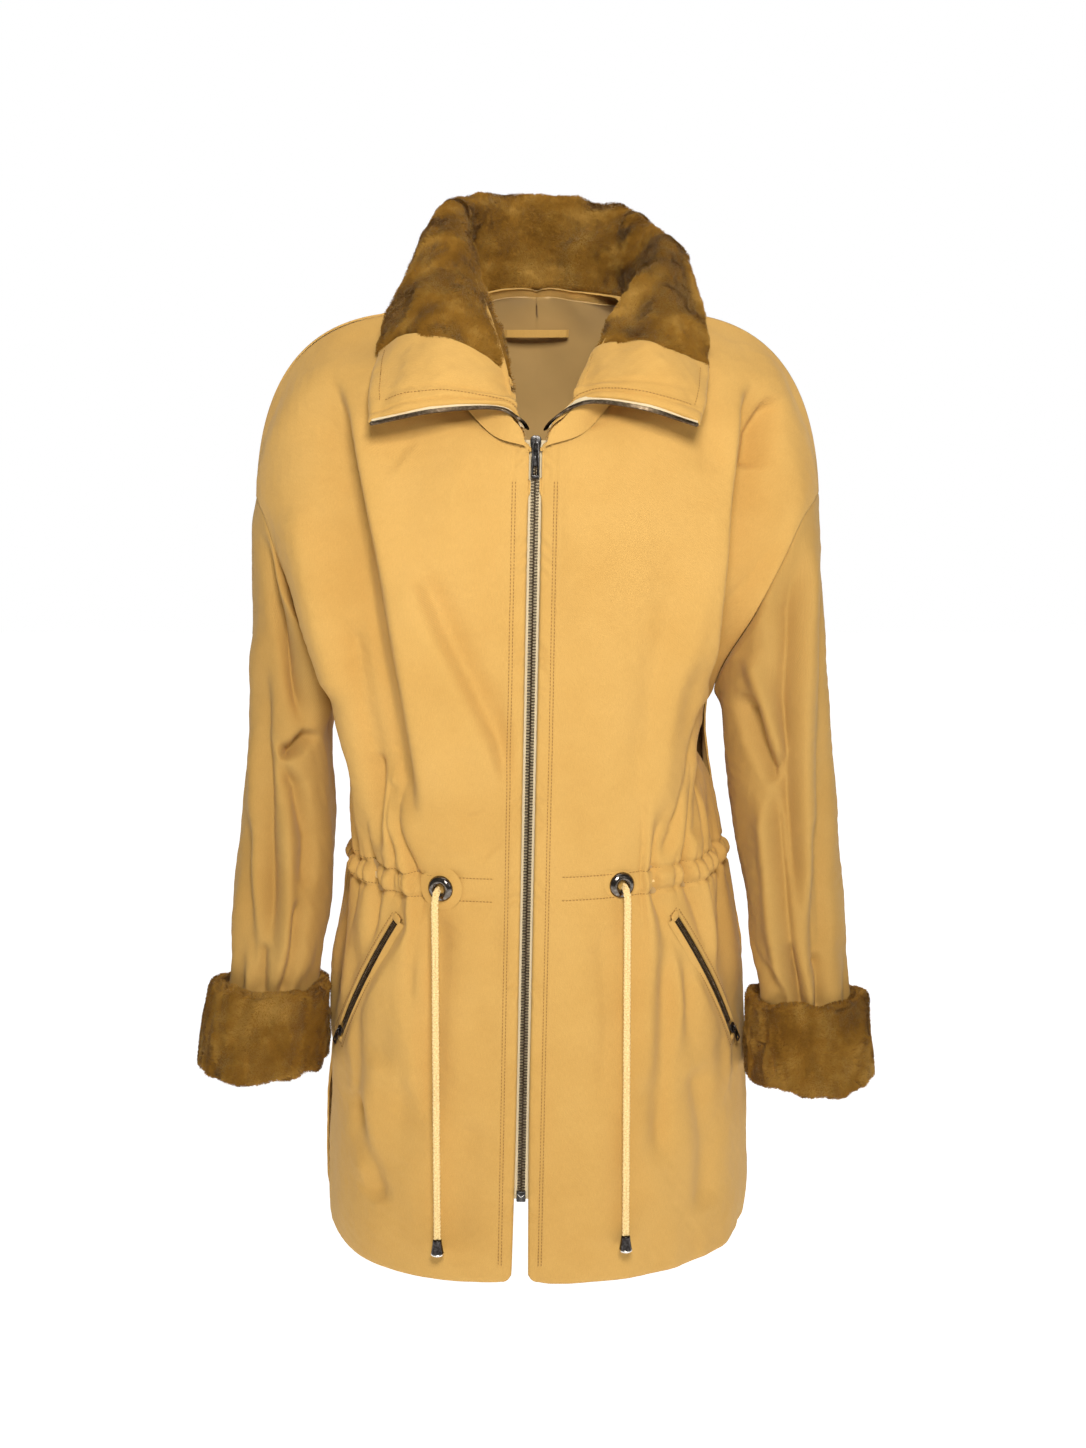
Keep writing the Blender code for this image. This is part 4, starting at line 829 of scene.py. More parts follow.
# ---------------------------------------------------------------- folds of the body cloth
# Lines down a fold in the front view: (x, z) points, spread to -X and to +X, and height.
RIGHT_FOLDS = [
    ([(-.186, -.036), (-.171, -.086), (-.158, -.146), (-.142, -.224), (-.128, -.312),
      (-.118, -.375), (-.110, -.440)], .046, .0075, -.0120),
    ([(-.172, -.040), (-.157, -.086), (-.145, -.146), (-.130, -.224), (-.117, -.312),
      (-.108, -.375), (-.102, -.430)], .008, .030, .0045),
    ([(-.104, -.200), (-.083, -.250), (-.058, -.303), (-.032, -.357), (-.020, -.402)],
     .008, .016, -.0050),
    ([(-.118, -.200), (-.096, -.255), (-.072, -.308), (-.046, -.362), (-.032, -.410)],
     .018, .010, .0028),
    ([(-.178, -.250), (-.168, -.330), (-.158, -.400), (-.147, -.462)], .007, .012, -.0045),
    ([(-.160, -.380), (-.151, -.420), (-.143, -.470)], .006, .006, -.0045),
    ([(-.139, -.400), (-.131, -.440), (-.127, -.476)], .005, .007, -.0035),
    ([(-.215, -.150), (-.208, -.210), (-.196, -.280), (-.184, -.340)], .020, .012, .0050),
    ([(-.060, -.420), (-.052, -.445), (-.038, -.462)], .010, .014, -.0016),
    ([(-.120, -.110), (-.092, -.130), (-.060, -.138)], .020, .020, .0020),
    ([(-.088, -.505), (-.092, -.560), (-.096, -.636), (-.100, -.714)], .006, .014, -.0040),
    ([(-.104, -.505), (-.109, -.560), (-.114, -.640), (-.116, -.700)], .012, .007, .0030),
    ([(-.142, -.650), (-.153, -.714), (-.162, -.790)], .012, .012, .0040),
    ([(-.171, -.700), (-.158, -.753), (-.145, -.800)], .010, .010, -.0050),
    ([(-.060, -.700), (-.070, -.760), (-.078, -.830)], .020, .020, -.0030),
]
LEFT_FOLDS = [
    ([(.196, -.044), (.188, -.086), (.183, -.137), (.177, -.197), (.171, -.250), (.166, -.303),
      (.164, -.330)], .0070, .030, -.0170),
    ([(.184, -.052), (.176, -.100), (.170, -.150), (.164, -.210), (.157, -.270), (.152, -.320)],
     .030, .007, .0050),
    ([(.214, -.060), (.207, -.090), (.203, -.125)], .006, .010, -.0070),
    ([(.143, -.030), (.150, -.077), (.158, -.130)], .014, .010, -.0022),
    ([(.142, -.215), (.128, -.290), (.113, -.365), (.101, -.445)], .022, .012, .0036),
    ([(.128, -.215), (.112, -.290), (.097, -.370), (.088, -.450)], .016, .016, -.0030),
    ([(.157, -.330), (.141, -.390), (.124, -.450), (.112, -.478)], .006, .010, -.0048),
    ([(.166, -.365), (.153, -.415), (.142, -.465)], .006, .008, -.0046),
    ([(.146, -.380), (.133, -.430), (.124, -.474)], .006, .007, .0030),
    ([(.030, -.395), (.046, -.425), (.060, -.455)], .012, .012, -.0014),
    ([(.115, -.505), (.119, -.588), (.116, -.700), (.112, -.760)], .012, .010, -.0046),
    ([(.100, -.505), (.100, -.588), (.098, -.690)], .013, .012, .0026),
    ([(.056, -.520), (.066, -.610), (.060, -.690)], .010, .016, -.0022),
    ([(.150, -.670), (.164, -.750), (.160, -.820)], .012, .012, -.0045),
    ([(.048, -.690), (.052, -.750), (.058, -.830)], .022, .022, .0022),
]
GATHER_FRONT = {"left": .096, "right": .103}
TUNNEL_HALF = 0.0105


def gathers(points, waist_z, amount):
    """Relief of cloth drawn up on the waist cord: puffs in the tunnel, folds beyond it."""
    x, y, z = points[..., 0], points[..., 1], points[..., 2]
    turn = np.arctan2(x, -y) * 0.155
    lift = z - waist_z
    around = turn[..., None]
    high = lift[..., None]
    wander = waves(np.concatenate([around, high * 0.35], axis=-1), 0.050, 11) * 0.9
    fine_phase = 2 * np.pi * turn / 0.0125 + wander * 2.2
    wide_phase = 2 * np.pi * turn / 0.026 + wander * 1.6 + 1.0
    broad_phase = 2 * np.pi * turn / 0.060 + wander * 1.1 + 2.4
    puff = np.abs(np.sin(fine_phase / 2)) ** 0.75 - 0.62
    wide = np.abs(np.sin(wide_phase / 2)) ** 0.85 - 0.60
    broad = np.sin(broad_phase)
    above = np.where(lift > 0, 1.0, 0.0)
    fine_reach = bell(lift, 0.019)
    wide_reach = bell(lift, 0.046 + 0.020 * above)
    broad_reach = bell(lift + 0.05, 0.150) * (1 - above * 0.25)
    tunnel = np.where(np.abs(lift) < TUNNEL_HALF, np.cos(lift / TUNNEL_HALF * np.pi / 2), 0.0)
    groove = bell(np.abs(lift) - TUNNEL_HALF, 0.0022)
    relief = (puff * (0.0040 * fine_reach + 0.0022 * tunnel) + wide * 0.0095 * wide_reach
              + broad * 0.0048 * broad_reach + tunnel * 0.0030 - groove * 0.0024)
    return relief * amount


def cloth_noise(points, seed, height=1.0):
    """Slow undulation and small wrinkles of hanging twill."""
    hanging = points * np.array([1.0, 1.0, 0.42])
    return height * (waves(hanging, 0.110, seed) * 0.0016 + waves(hanging, 0.040, seed + 1)
                     * 0.00055 + waves(points, 0.013, seed + 2) * 0.00012)


def placket(points, from_zip):
    """The doubled cloth beside the zip: puckers between the teeth and its stitching."""
    z = points[..., 2]
    raised = smoothstep(0.0235, 0.0200, from_zip) * 0.0008
    groove = bell(from_zip - 0.0182, 0.0020) * -0.0009
    drift = waves(points[..., 2:3], 0.035, 31) * 1.6
    pucker = np.sin(2 * np.pi * (z * 1.0 + from_zip * 0.9) / 0.0125 + drift)
    window = bell(from_zip - 0.0130, 0.0045) + 0.5 * bell(from_zip - 0.0085, 0.004)
    strength = 0.5 + 0.5 * waves(points[..., 2:3], 0.09, 33)
    edge = bell(from_zip - 0.0055, 0.0016) * -0.0012
    return raised + groove + edge + pucker * window * 0.00075 * np.clip(strength, 0.1, 1.2)


def solve_uv(panel, x, z):
    """Where on the panel the surface has each given x and z."""
    x, z = np.asarray(x, float), np.asarray(z, float)
    u, v = np.full(x.shape, 0.5), np.full(x.shape, 0.35)
    step = 1e-4
    for _ in range(40):
        here = panel(u, v)
        by_u = (panel(u + step, v) - here) / step
        by_v = (panel(u, v + step) - here) / step
        determinant = by_u[..., 0] * by_v[..., 2] - by_v[..., 0] * by_u[..., 2]
        miss_x, miss_z = x - here[..., 0], z - here[..., 2]
        change_u = (miss_x * by_v[..., 2] - by_v[..., 0] * miss_z) / determinant
        change_v = (by_u[..., 0] * miss_z - miss_x * by_u[..., 2]) / determinant
        u = np.clip(u + np.clip(change_u, -0.2, 0.2) * 0.6, 0.003, 0.99)
        v = np.clip(v + np.clip(change_v, -0.2, 0.2) * 0.6, 0.003, 0.995)
    return u, v


def panel_normal(panel, u, v, step=1e-3):
    along = panel(u + step, v) - panel(u - step, v)
    up = panel(u, v + step) - panel(u, v - step)
    cross = np.cross(along, up) * panel.side
    return cross / np.linalg.norm(cross, axis=-1, keepdims=True)


class PocketArc:
    """The circle that a pocket zip follows, its section lying along the panel."""

    def __init__(self, side):
        panel = FRONTS[side]
        x = np.array([p[0] * SIDES[side] for p in POCKET_POINTS])
        z = np.array([p[1] for p in POCKET_POINTS])
        u, v = solve_uv(panel, x, z)
        a, b, c = (Vector(p) for p in panel(u, v))
        out = Vector(panel_normal(panel, u, v)[1])
        normal = (b - a).cross(c - a)
        ab, ac = b - a, c - a
        offset = normal.cross(ab) * ac.length_squared + ac.cross(normal) * ab.length_squared
        self.centre = a + offset / (2 * normal.length_squared)
        self.radius = (a - self.centre).length
        self.axis = normal.normalized()
        self.start = (c - self.centre).normalized()
        if self.axis.dot(self.start.cross((a - self.centre).normalized())) < 0:
            self.axis = -self.axis
        self.angle = self.start.angle((a - self.centre).normalized())
        radial = self.radial(self.angle / 2)
        self.lean = -math.atan2(out.dot(self.axis), out.dot(radial))

    def radial(self, angle):
        return Matrix.Rotation(angle, 3, self.axis) @ self.start

    def facing(self, angle):
        radial = self.radial(angle)
        out = radial * math.cos(self.lean) - self.axis * math.sin(self.lean)
        across = radial * math.sin(self.lean) + self.axis * math.cos(self.lean)
        return out, across

    def place(self, angle, out, across):
        outward, sideways = self.facing(angle)
        return (self.centre + self.radial(angle) * self.radius + outward * out
                + sideways * across)

    def near(self, points):
        """Distance of points from the zip's middle line."""
        away = points - np.array(self.centre)
        axis, start = np.array(self.axis), np.array(self.start)
        second = np.cross(axis, start)
        first_part, second_part = away @ start, away @ second
        angle = np.clip(np.arctan2(second_part, first_part), 0, self.angle)
        on_arc = (np.array(self.centre) + self.radius
                  * (np.cos(angle)[..., None] * start + np.sin(angle)[..., None] * second))
        return np.linalg.norm(points - on_arc, axis=-1)


POCKETS = {side: PocketArc(side) for side in SIDES}
HEM_TUCK = 0.045
CORNER = 0.009
CORNER_HEIGHT = CORNER * 1.6


DRAPES = {
    "right": [(-.150, -.040), (-.148, -.120), (-.143, -.200), (-.130, -.290), (-.116, -.370),
              (-.108, -.440)],
    "left": [(.176, -.060), (.172, -.120), (.166, -.200), (.160, -.280), (.150, -.360),
             (.136, -.440)],
}


def chest_drape(side, x, z):
    """Depth of the slack hollow between the chest and the armhole."""
    line = DRAPES[side]
    signed, share = line_field(x, z, line)
    beyond = smoothstep(0.0, 0.016, signed * SIDES[side]) * smoothstep(0.075, 0.03, signed
                                                                       * SIDES[side])
    return 0.0105 * beyond * smoothstep(0.05, 0.45, share) * smoothstep(1.0, 0.8, share)


def front_relief(side, points, u, v):
    """How far the front's cloth stands out of its plain surface."""
    x, z = points[..., 0], points[..., 2]
    from_zip = np.abs(x - zip_x(z))
    panel = FRONTS[side]
    waist_z = panel(u, np.full(u.shape, panel.knots[WAIST_ROW]))[..., 2]
    folds = RIGHT_FOLDS if side == "right" else LEFT_FOLDS
    relief = cloth_noise(points, 3 if side == "left" else 7)
    for line, left_width, right_width, height in folds:
        relief = relief + 1.85 * fold(x, z, line, left_width, right_width, height)
    relief = relief - chest_drape(side, x, z)
    gathered = smoothstep(GATHER_FRONT[side] - 0.012, GATHER_FRONT[side] + 0.012, np.abs(x))
    relief = relief * (1 - 0.6 * gathered * bell(z - waist_z, 0.03))
    relief = relief + gathers(points, waist_z, 0.02 + 0.98 * gathered)
    flat_casing = (1 - gathered) * smoothstep(0.025, 0.05, from_zip)
    relief = relief - flat_casing * bell(np.abs(z - waist_z) - TUNNEL_HALF, 0.002) * 0.0006
    armhole = smoothstep(0, 0.06, 1 - u)
    above = smoothstep(panel.knots[UNDERARM_ROW] - 0.04, panel.knots[UNDERARM_ROW], v)
    relief = relief * (1 - above * (1 - armhole))
    relief = relief * smoothstep(1.0, 0.975, v) * smoothstep(0.0050, 0.030, from_zip)
    pocket = POCKETS[side].near(points)
    relief = relief * smoothstep(0.008, 0.022, pocket)
    relief = relief - smoothstep(0.0072, 0.0044, pocket) * 0.0066
    eyelet_x, eyelet_z = EYELET_PLACES[side]
    eyelet = np.hypot(x - SIDES[side] * eyelet_x, z - eyelet_z)
    relief = relief * smoothstep(0.009, 0.020, eyelet)
    return relief + placket(points, from_zip)


def hem_shape(points, normals):
    """The hem turns under: it draws in towards the bottom edge, most of all at the sides."""
    x, z = points[..., 0], points[..., 2]
    up = np.clip((z - z.min(axis=0)) / HEM_TUCK, 0, 1)
    tuck = (1 - up) ** 2
    wide = smoothstep(0.08, 0.19, np.abs(x))
    reach = 0.002 + 0.004 * wide
    roll = bell((z - z.min(axis=0)) / 0.0022, 1.0) * 0.0012
    return points - normals * (tuck * reach + roll)[..., None]


def zip_corner(points):
    """Round off the corner where the zip edge meets the hem."""
    x, z = points[..., 0], points[..., 2]
    inward = np.abs(x - zip_x(z)) - 0.0072
    height = z - z.min(axis=0)
    inside = (inward < CORNER) & (height < CORNER_HEIGHT)
    share = np.clip(1 - inward / CORNER, 0, 1)
    lift = CORNER * (1 - np.sqrt(np.clip(1 - share ** 2, 0, 1))) * (1 - height / CORNER_HEIGHT)
    points = points.copy()
    points[..., 2] += np.where(inside, lift, 0.0)
    return points


def front_surface(side, u, v):
    """The front's finished outer face, and its plain normals."""
    panel = FRONTS[side]
    points = panel(u, v)
    normals = panel_normal(panel, np.clip(u, 0.002, 0.998), np.clip(v, 0.002, 0.998))
    return points + normals * front_relief(side, points, u, v)[..., None], normals


def make_front(side):
    columns, rows = ((170, 470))
    u, v = np.meshgrid(np.linspace(0, 1, columns) ** 0.93, np.linspace(0, 1, rows))
    points, normals = front_surface(side, u, v)
    points = hem_shape(points, normals)
    from_zip = (points[..., 0] - zip_x(points[..., 2])) * SIDES[side]
    clear = np.where(points[..., 2] < ZIP_TOP.z - 0.004, 0.0056, 0.0)
    points[..., 0] += SIDES[side] * np.maximum(clear - from_zip, 0.0)
    points = zip_corner(points)
    piece = grid_piece("front_cloth_" + side, points, SIDES[side], rim=0.0017)
    return keep(piece, TWILL, ROOT, ["front_" + side])


BACK_FOLDS = [
    ([(-.150, -.080), (-.140, -.200), (-.130, -.330), (-.110, -.450)], .030, .012, -.0080),
    ([(.152, -.080), (.143, -.200), (.130, -.330), (.112, -.450)], .012, .030, -.0080),
    ([(-.070, -.180), (-.062, -.300), (-.058, -.450)], .018, .018, .0030),
    ([(.060, -.200), (.066, -.320), (.058, -.450)], .018, .018, .0030),
    ([(-.090, -.520), (-.105, -.640), (-.110, -.800)], .018, .018, -.0050),
    ([(.085, -.520), (.098, -.640), (.108, -.800)], .018, .018, -.0050),
    ([(-.020, -.520), (-.024, -.660), (-.020, -.820)], .020, .020, .0040),
]


def back_relief(points, u, v, waist_z):
    """How far the back's cloth stands out of its plain surface."""
    relief = cloth_noise(points, 17)
    x, z = points[..., 0], points[..., 2]
    for line, left_width, right_width, height in BACK_FOLDS:
        relief = relief + fold(x, z, line, left_width, right_width, height)
    relief = relief * (1 - 0.6 * bell(z - waist_z, 0.03))
    relief = relief + gathers(points, waist_z, 1.0)
    above = smoothstep(0.62, 0.66, v)
    relief = relief * (1 - above * (1 - smoothstep(0, 0.06, 1 - np.abs(u))))
    relief = relief * smoothstep(1.0, 0.975, v)
    return relief


def back_grid(half, heights):
    """Both halves of the back: u, v, the plain points and the height of the waist."""
    u, v = np.meshgrid(np.concatenate([-half[::-1], half]), heights)
    points = whole_back(u, v)
    least = u * LEAST_SPREAD
    points[..., 0] = np.where(u > 0, np.maximum(points[..., 0], least),
                              np.minimum(points[..., 0], least))
    waist_z = whole_back(u, np.full(u.shape, BACKS["left"].knots[WAIST_ROW]))[..., 2]
    return u, v, points, waist_z


def back_piece(name, points, v, rim=0.0):
    """A back grid as one piece, open down its middle above the neck row."""
    open_row = np.searchsorted(v[:, 0], BACKS["left"].knots[NECK_ROW])
    middle = points.shape[1] // 2 - 1
    return grid_piece(name, points, -1, rim=rim,
                      skip=lambda r, c: (r >= open_row) & (c == middle))


def make_back():
    columns, rows = ((105, 380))
    half = np.linspace(BACK_START, 1, columns)
    u, v, points, waist_z = back_grid(half, np.linspace(0, 1, rows))
    near = np.where(u > 0, 1.0, -1.0)
    safe = near * np.clip(np.abs(u), 0.003, 0.998)
    step = 1e-3
    along = whole_back(safe + step, v) - whole_back(safe - step, v)
    up = (whole_back(safe, np.clip(v + step, 0, 1)) - whole_back(safe, np.clip(v - step, 0, 1)))
    normals = -np.cross(along, up)
    normals /= np.linalg.norm(normals, axis=-1, keepdims=True)
    points = points + normals * back_relief(points, u, v, waist_z)[..., None]
    points = hem_shape(points, normals)
    piece = back_piece("back_cloth", points, v, rim=0.0017)
    return keep(piece, TWILL, ROOT, ["back_panel"])


# ---------------------------------------------------------------- sleeves
SLEEVE_FOLDS = {
    "right": [
        ([(-.236, -.160), (-.228, -.215), (-.213, -.290), (-.200, -.360), (-.196, -.385)],
         .012, .008, .0080),
        ([(-.246, -.175), (-.238, -.240), (-.224, -.320), (-.212, -.372)], .007, .006, -.0070),
        ([(-.206, -.372), (-.222, -.386), (-.240, -.392)], .007, .005, -.0100),
        ([(-.240, -.395), (-.222, -.420), (-.212, -.470), (-.214, -.520)], .008, .006, -.0065),
        ([(-.252, -.300), (-.256, -.380), (-.250, -.440), (-.244, -.520), (-.246, -.590)],
         .012, .008, -.0065),
        ([(-.262, -.260), (-.266, -.360), (-.262, -.460), (-.260, -.560)], .008, .010, .0040),
        ([(-.232, -.430), (-.230, -.500), (-.232, -.580), (-.240, -.620)], .010, .007, .0050),
        ([(-.270, -.440), (-.270, -.520), (-.268, -.600)], .007, .007, -.0035),
        ([(-.220, -.520), (-.226, -.570), (-.238, -.625)], .005, .007, -.0055),
        ([(-.256, -.560), (-.255, -.600), (-.254, -.630)], .005, .006, -.0045),
    ],
    "left": [
        ([(.252, -.165), (.246, -.230), (.242, -.330), (.246, -.440), (.252, -.560)],
         .008, .012, .0060),
        ([(.240, -.190), (.230, -.250), (.226, -.330), (.232, -.430), (.240, -.540)],
         .012, .007, -.0065),
        ([(.262, -.200), (.264, -.300), (.266, -.420), (.270, -.540), (.268, -.620)],
         .009, .007, -.0050),
        ([(.196, -.290), (.208, -.330), (.220, -.372), (.226, -.400)], .009, .007, .0060),
        ([(.190, -.330), (.200, -.375), (.214, -.405), (.226, -.412)], .006, .009, -.0085),
        ([(.206, -.420), (.212, -.480), (.222, -.560), (.236, -.625)], .008, .008, .0055),
        ([(.216, -.410), (.222, -.480), (.232, -.560), (.244, -.630)], .006, .006, -.0055),
        ([(.256, -.440), (.258, -.520), (.258, -.600)], .006, .007, -.0040),
        ([(.228, -.560), (.238, -.600), (.246, -.634)], .005, .005, -.0045),
        ([(.262, -.570), (.264, -.605), (.263, -.635)], .005, .006, -.0045),
    ],
}


def sleeve_surface(side, u, share):
    """The sleeve's finished outer face, and its plain normals."""
    sleeve = SLEEVES[side]
    points = sleeve(u, share * 0.985)
    normals = grid_normals(points, wrap=True) * SIDES[side]
    x, z = points[..., 0], points[..., 2]
    front = smoothstep(0.10, 0.45, -normals[..., 1])
    back = smoothstep(0.10, 0.45, normals[..., 1])
    relief = cloth_noise(points, 23 if side == "left" else 29, 1.3)
    for line, left_width, right_width, height in SLEEVE_FOLDS[side]:
        relief = relief + 2.0 * front * fold(x, z, line, left_width, right_width, height,
                                             0.2, 0.2)
        relief = relief + back * fold(x, z + 0.02, line, right_width * 1.4,
                                            left_width * 1.4, height, 0.2, 0.2)
    wrist = smoothstep(0.68, 0.96, share)
    relief = relief + wrist * 0.0042 * np.sin(18 * np.pi * u + 2.0 * waves(points, 0.09, 41))
    relief = relief * smoothstep(0.0, 0.045, share)
    seam = bell(share, 0.006) * -0.0008
    return points + normals * (relief + seam)[..., None], normals


def make_sleeve(side):
    columns, rows = ((170, 360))
    u, share = np.meshgrid(np.linspace(0, 1, columns, endpoint=False), np.linspace(0, 1, rows))
    points, normals = sleeve_surface(side, u, share)
    piece = grid_piece("sleeve_cloth_" + side, points, SIDES[side], wrap=True)
    # The sleeve cloth takes the twill's darker copy: painted shade.
    keep_blended(piece, TWILL_SLEEVE_PAINTED_SHADE, ["sleeve_" + side])
    u, share = np.meshgrid(np.linspace(0, 1, 80, endpoint=False), np.linspace(0.02, 0.96, 140))
    inner, normals = sleeve_surface(side, u, share)
    lining = grid_piece("sleeve_lining_" + side, inner - normals * 0.0050, SIDES[side],
                        wrap=True)
    keep_blended(lining, SATIN,
                 ["lining_sleeve_" + side])

def keep_blended(thing, look, replaces=()):
    """A sleeve piece, from the armhole down: its placing baked in, with its material and the nodes
    it stands for.
    """
    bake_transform(thing)
    dress(thing, look, replaces)


# ---------------------------------------------------------------- plush
def blades(name, points, normals, flow, count, length, seed, width=0.00055):
    """Short fibres standing on a grid surface and leaning along its flow directions."""
    rng = np.random.default_rng(seed)
    columns = points.shape[1]
    corner = np.stack([points[:-1, :-1], points[:-1, 1:], points[1:, 1:], points[1:, :-1]])
    area = (np.linalg.norm(np.cross(corner[1] - corner[0], corner[3] - corner[0]), axis=-1))
    chosen = rng.choice(area.size, size=count, p=(area / area.sum()).reshape(-1))
    r, c = chosen // (columns - 1), chosen % (columns - 1)
    s, t = rng.random(count)[:, None], rng.random(count)[:, None]

    def read(values):
        return ((values[r, c] * (1 - s) + values[r, c + 1] * s) * (1 - t)
                + (values[r + 1, c] * (1 - s) + values[r + 1, c + 1] * s) * t)

    base, up, lean = read(points), read(normals), read(flow)
    up /= np.linalg.norm(up, axis=1, keepdims=True)
    lean = lean + rng.normal(size=(count, 3)) * 0.38
    lean -= up * np.sum(lean * up, axis=1, keepdims=True)
    lean /= np.linalg.norm(lean, axis=1, keepdims=True)
    reach = length * rng.uniform(0.6, 1.15, size=(count, 1))
    side = np.cross(up, lean) * width / 2
    middle = base + up * reach * 0.50 + lean * reach * 0.32
    tip = base + up * reach * 0.66 + lean * reach * 0.86
    verts = np.stack([base - side - up * 0.0004, base + side - up * 0.0004, middle + side * 0.8,
                      middle - side * 0.8, tip], axis=1)
    first = np.arange(count)[:, None] * 5
    quads = first + np.array([[0, 1, 2, 3]])
    tips = first + np.array([[3, 2, 4]])
    mesh = bpy.data.meshes.new(name)
    flat = verts.reshape(-1, 3).astype(np.float32)
    mesh.vertices.add(len(flat))
    mesh.vertices.foreach_set("co", flat.reshape(-1))
    loops = np.concatenate([quads, tips], axis=1).reshape(-1).astype(np.int32)
    starts = (np.arange(count)[:, None] * 7 + np.array([[0, 4]])).reshape(-1).astype(np.int32)
    mesh.loops.add(len(loops))
    mesh.loops.foreach_set("vertex_index", loops)
    mesh.polygons.add(count * 2)
    mesh.polygons.foreach_set("loop_start", starts)
    mesh.polygons.foreach_set("use_smooth", np.full(count * 2, True))
    mesh.update(calc_edges=True)
    mesh.validate()
    return link(name, mesh)


def pile_flow(points, normals, downward, seed, size=0.022, turn=1.5):
    """Directions in which the pile lies: mostly one way, with soft swirls."""
    swirl = waves(points, size, seed) * turn
    across = np.cross(normals, downward)
    return (downward * np.cos(swirl)[..., None] + across * np.sin(swirl)[..., None])


def make_cuff(side):
    top, bottom, top_half, bottom_half = (np.array(CUFFS[side][0]), np.array(CUFFS[side][1]),
                                          CUFFS[side][2], CUFFS[side][3])
    sign = SIDES[side]
    around, high = 150, 60
    angle = np.linspace(0, 2 * np.pi, around, endpoint=False)
    share = np.linspace(0, 1, high)
    # The section runs from inside the lower rim, out over the turned-back face, to the
    # inside of the upper rim.
    section = rounded([(0.985, -.0115), (1.0, -.0050), (0.98, 0.0), (0.5, .0022), (0.03, .0010),
                       (0.0, -.0040), (0.03, -.0100), (0.14, -.0108)], 0.02, 6)
    heights = np.interp(share, np.linspace(0, 1, len(section)), [p[0] for p in section])
    proud = np.interp(share, np.linspace(0, 1, len(section)), [p[1] for p in section])
    a, h = np.meshgrid(angle, heights)
    p = np.meshgrid(angle, proud)[1]
    middle_x = top[0] + (bottom[0] - top[0]) * h
    middle_y = top[1] + (bottom[1] - top[1]) * h
    middle_z = top[2] + (bottom[2] - top[2]) * h
    reach = top_half + (bottom_half - top_half) * h + p
    wobble = 0.0022 * np.sin(2 * a + 0.6) + 0.0015 * np.sin(3 * a + h * 2.0 + 1.0)
    tilt = 0.004 * np.sin(a + 0.8) * (1 - h)
    points = np.stack([sign * (middle_x + (reach + wobble) * np.cos(a)),
                       middle_y - (reach + wobble + 0.003) * np.sin(a),
                       middle_z + tilt + 0.0015 * np.sin(4 * a)], axis=-1)
    normals = grid_normals(points, wrap=True)
    centre = points.mean(axis=(0, 1))
    outward = np.sign(np.mean(np.sum(normals * (points - centre), axis=-1)))
    normals = normals * outward
    relief = 0.0012 * waves(points, 0.026, 51) + 0.0003 * waves(points, 0.009, 53)
    points = points + normals * relief[..., None]
    piece = grid_piece("cuff_pile_" + side, points, outward, wrap=True)
    keep(piece, PILE, "sleeve_body_" + side, ["cuff_plush_" + side])
    closed = np.concatenate([points, points[:, :1]], axis=1)
    closed_normals = np.concatenate([normals, normals[:, :1]], axis=1)
    down = np.broadcast_to(np.array([0.0, 0.0, -1.0]), closed.shape)
    flow = pile_flow(closed, closed_normals, down, 55, 0.026, 2.2)
    fibres = blades("cuff_fibres_" + side, closed, closed_normals, flow,
                    60000, 0.0032, 57)
    keep(fibres, FIBRE, "sleeve_body_" + side)


for side_name in SIDES:
    make_front(side_name)
    make_sleeve(side_name)
    make_cuff(side_name)
make_back()


# ---------------------------------------------------------------- collar
# Where the twill facing meets the plush: (share up the collar, stations from the zip edge).
FACING_SEAM = {
    "right": [(0, .85), (.3, .95), (.5, 1.2), (.7, 1.65), (.85, 1.9), (1, 1.95)],
    "left": [(0, 1.05), (.3, 1.25), (.5, 1.4), (.7, 1.45), (.85, 1.37), (1, 1.35)],
}


def keep_collar(thing, look, replaces=()):
    """A collar piece of one side, running from the jacket into its lifting wing: its placing baked
    in, with its material and the nodes it stands for.
    """
    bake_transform(thing)
    dress(thing, look, replaces)


def station(side, k):
    """Collar u of a place k stations from the side's front edge."""
    return COLLAR_LAST - k if side == "left" else k


def facing_line(side, v):
    """How far the facing reaches from the zip edge, in stations."""
    seam = np.array(FACING_SEAM[side], float)
    return through(seam[:, 1:], seam[:, 0], v)[..., 0]


def collar_patch(side, near, far, v_low, v_high, columns, rows):
    """Points and outward normals of the collar between two u lines of one side."""
    t, v = np.meshgrid(np.linspace(0, 1, columns), np.linspace(v_low, v_high, rows))
    k = near(v) + (far(v) - near(v)) * t
    u = station(side, k)
    points = collar(u, v)
    step = 0.02
    along = collar(np.clip(u + step, 0, COLLAR_LAST), v) - collar(np.clip(u - step, 0,
                                                                    COLLAR_LAST), v)
    up = collar(u, np.clip(v + 0.01, 0, 1)) - collar(u, np.clip(v - 0.01, 0, 1))
    normals = np.cross(along, up)
    normals /= np.linalg.norm(normals, axis=-1, keepdims=True)
    return points, normals, k, v


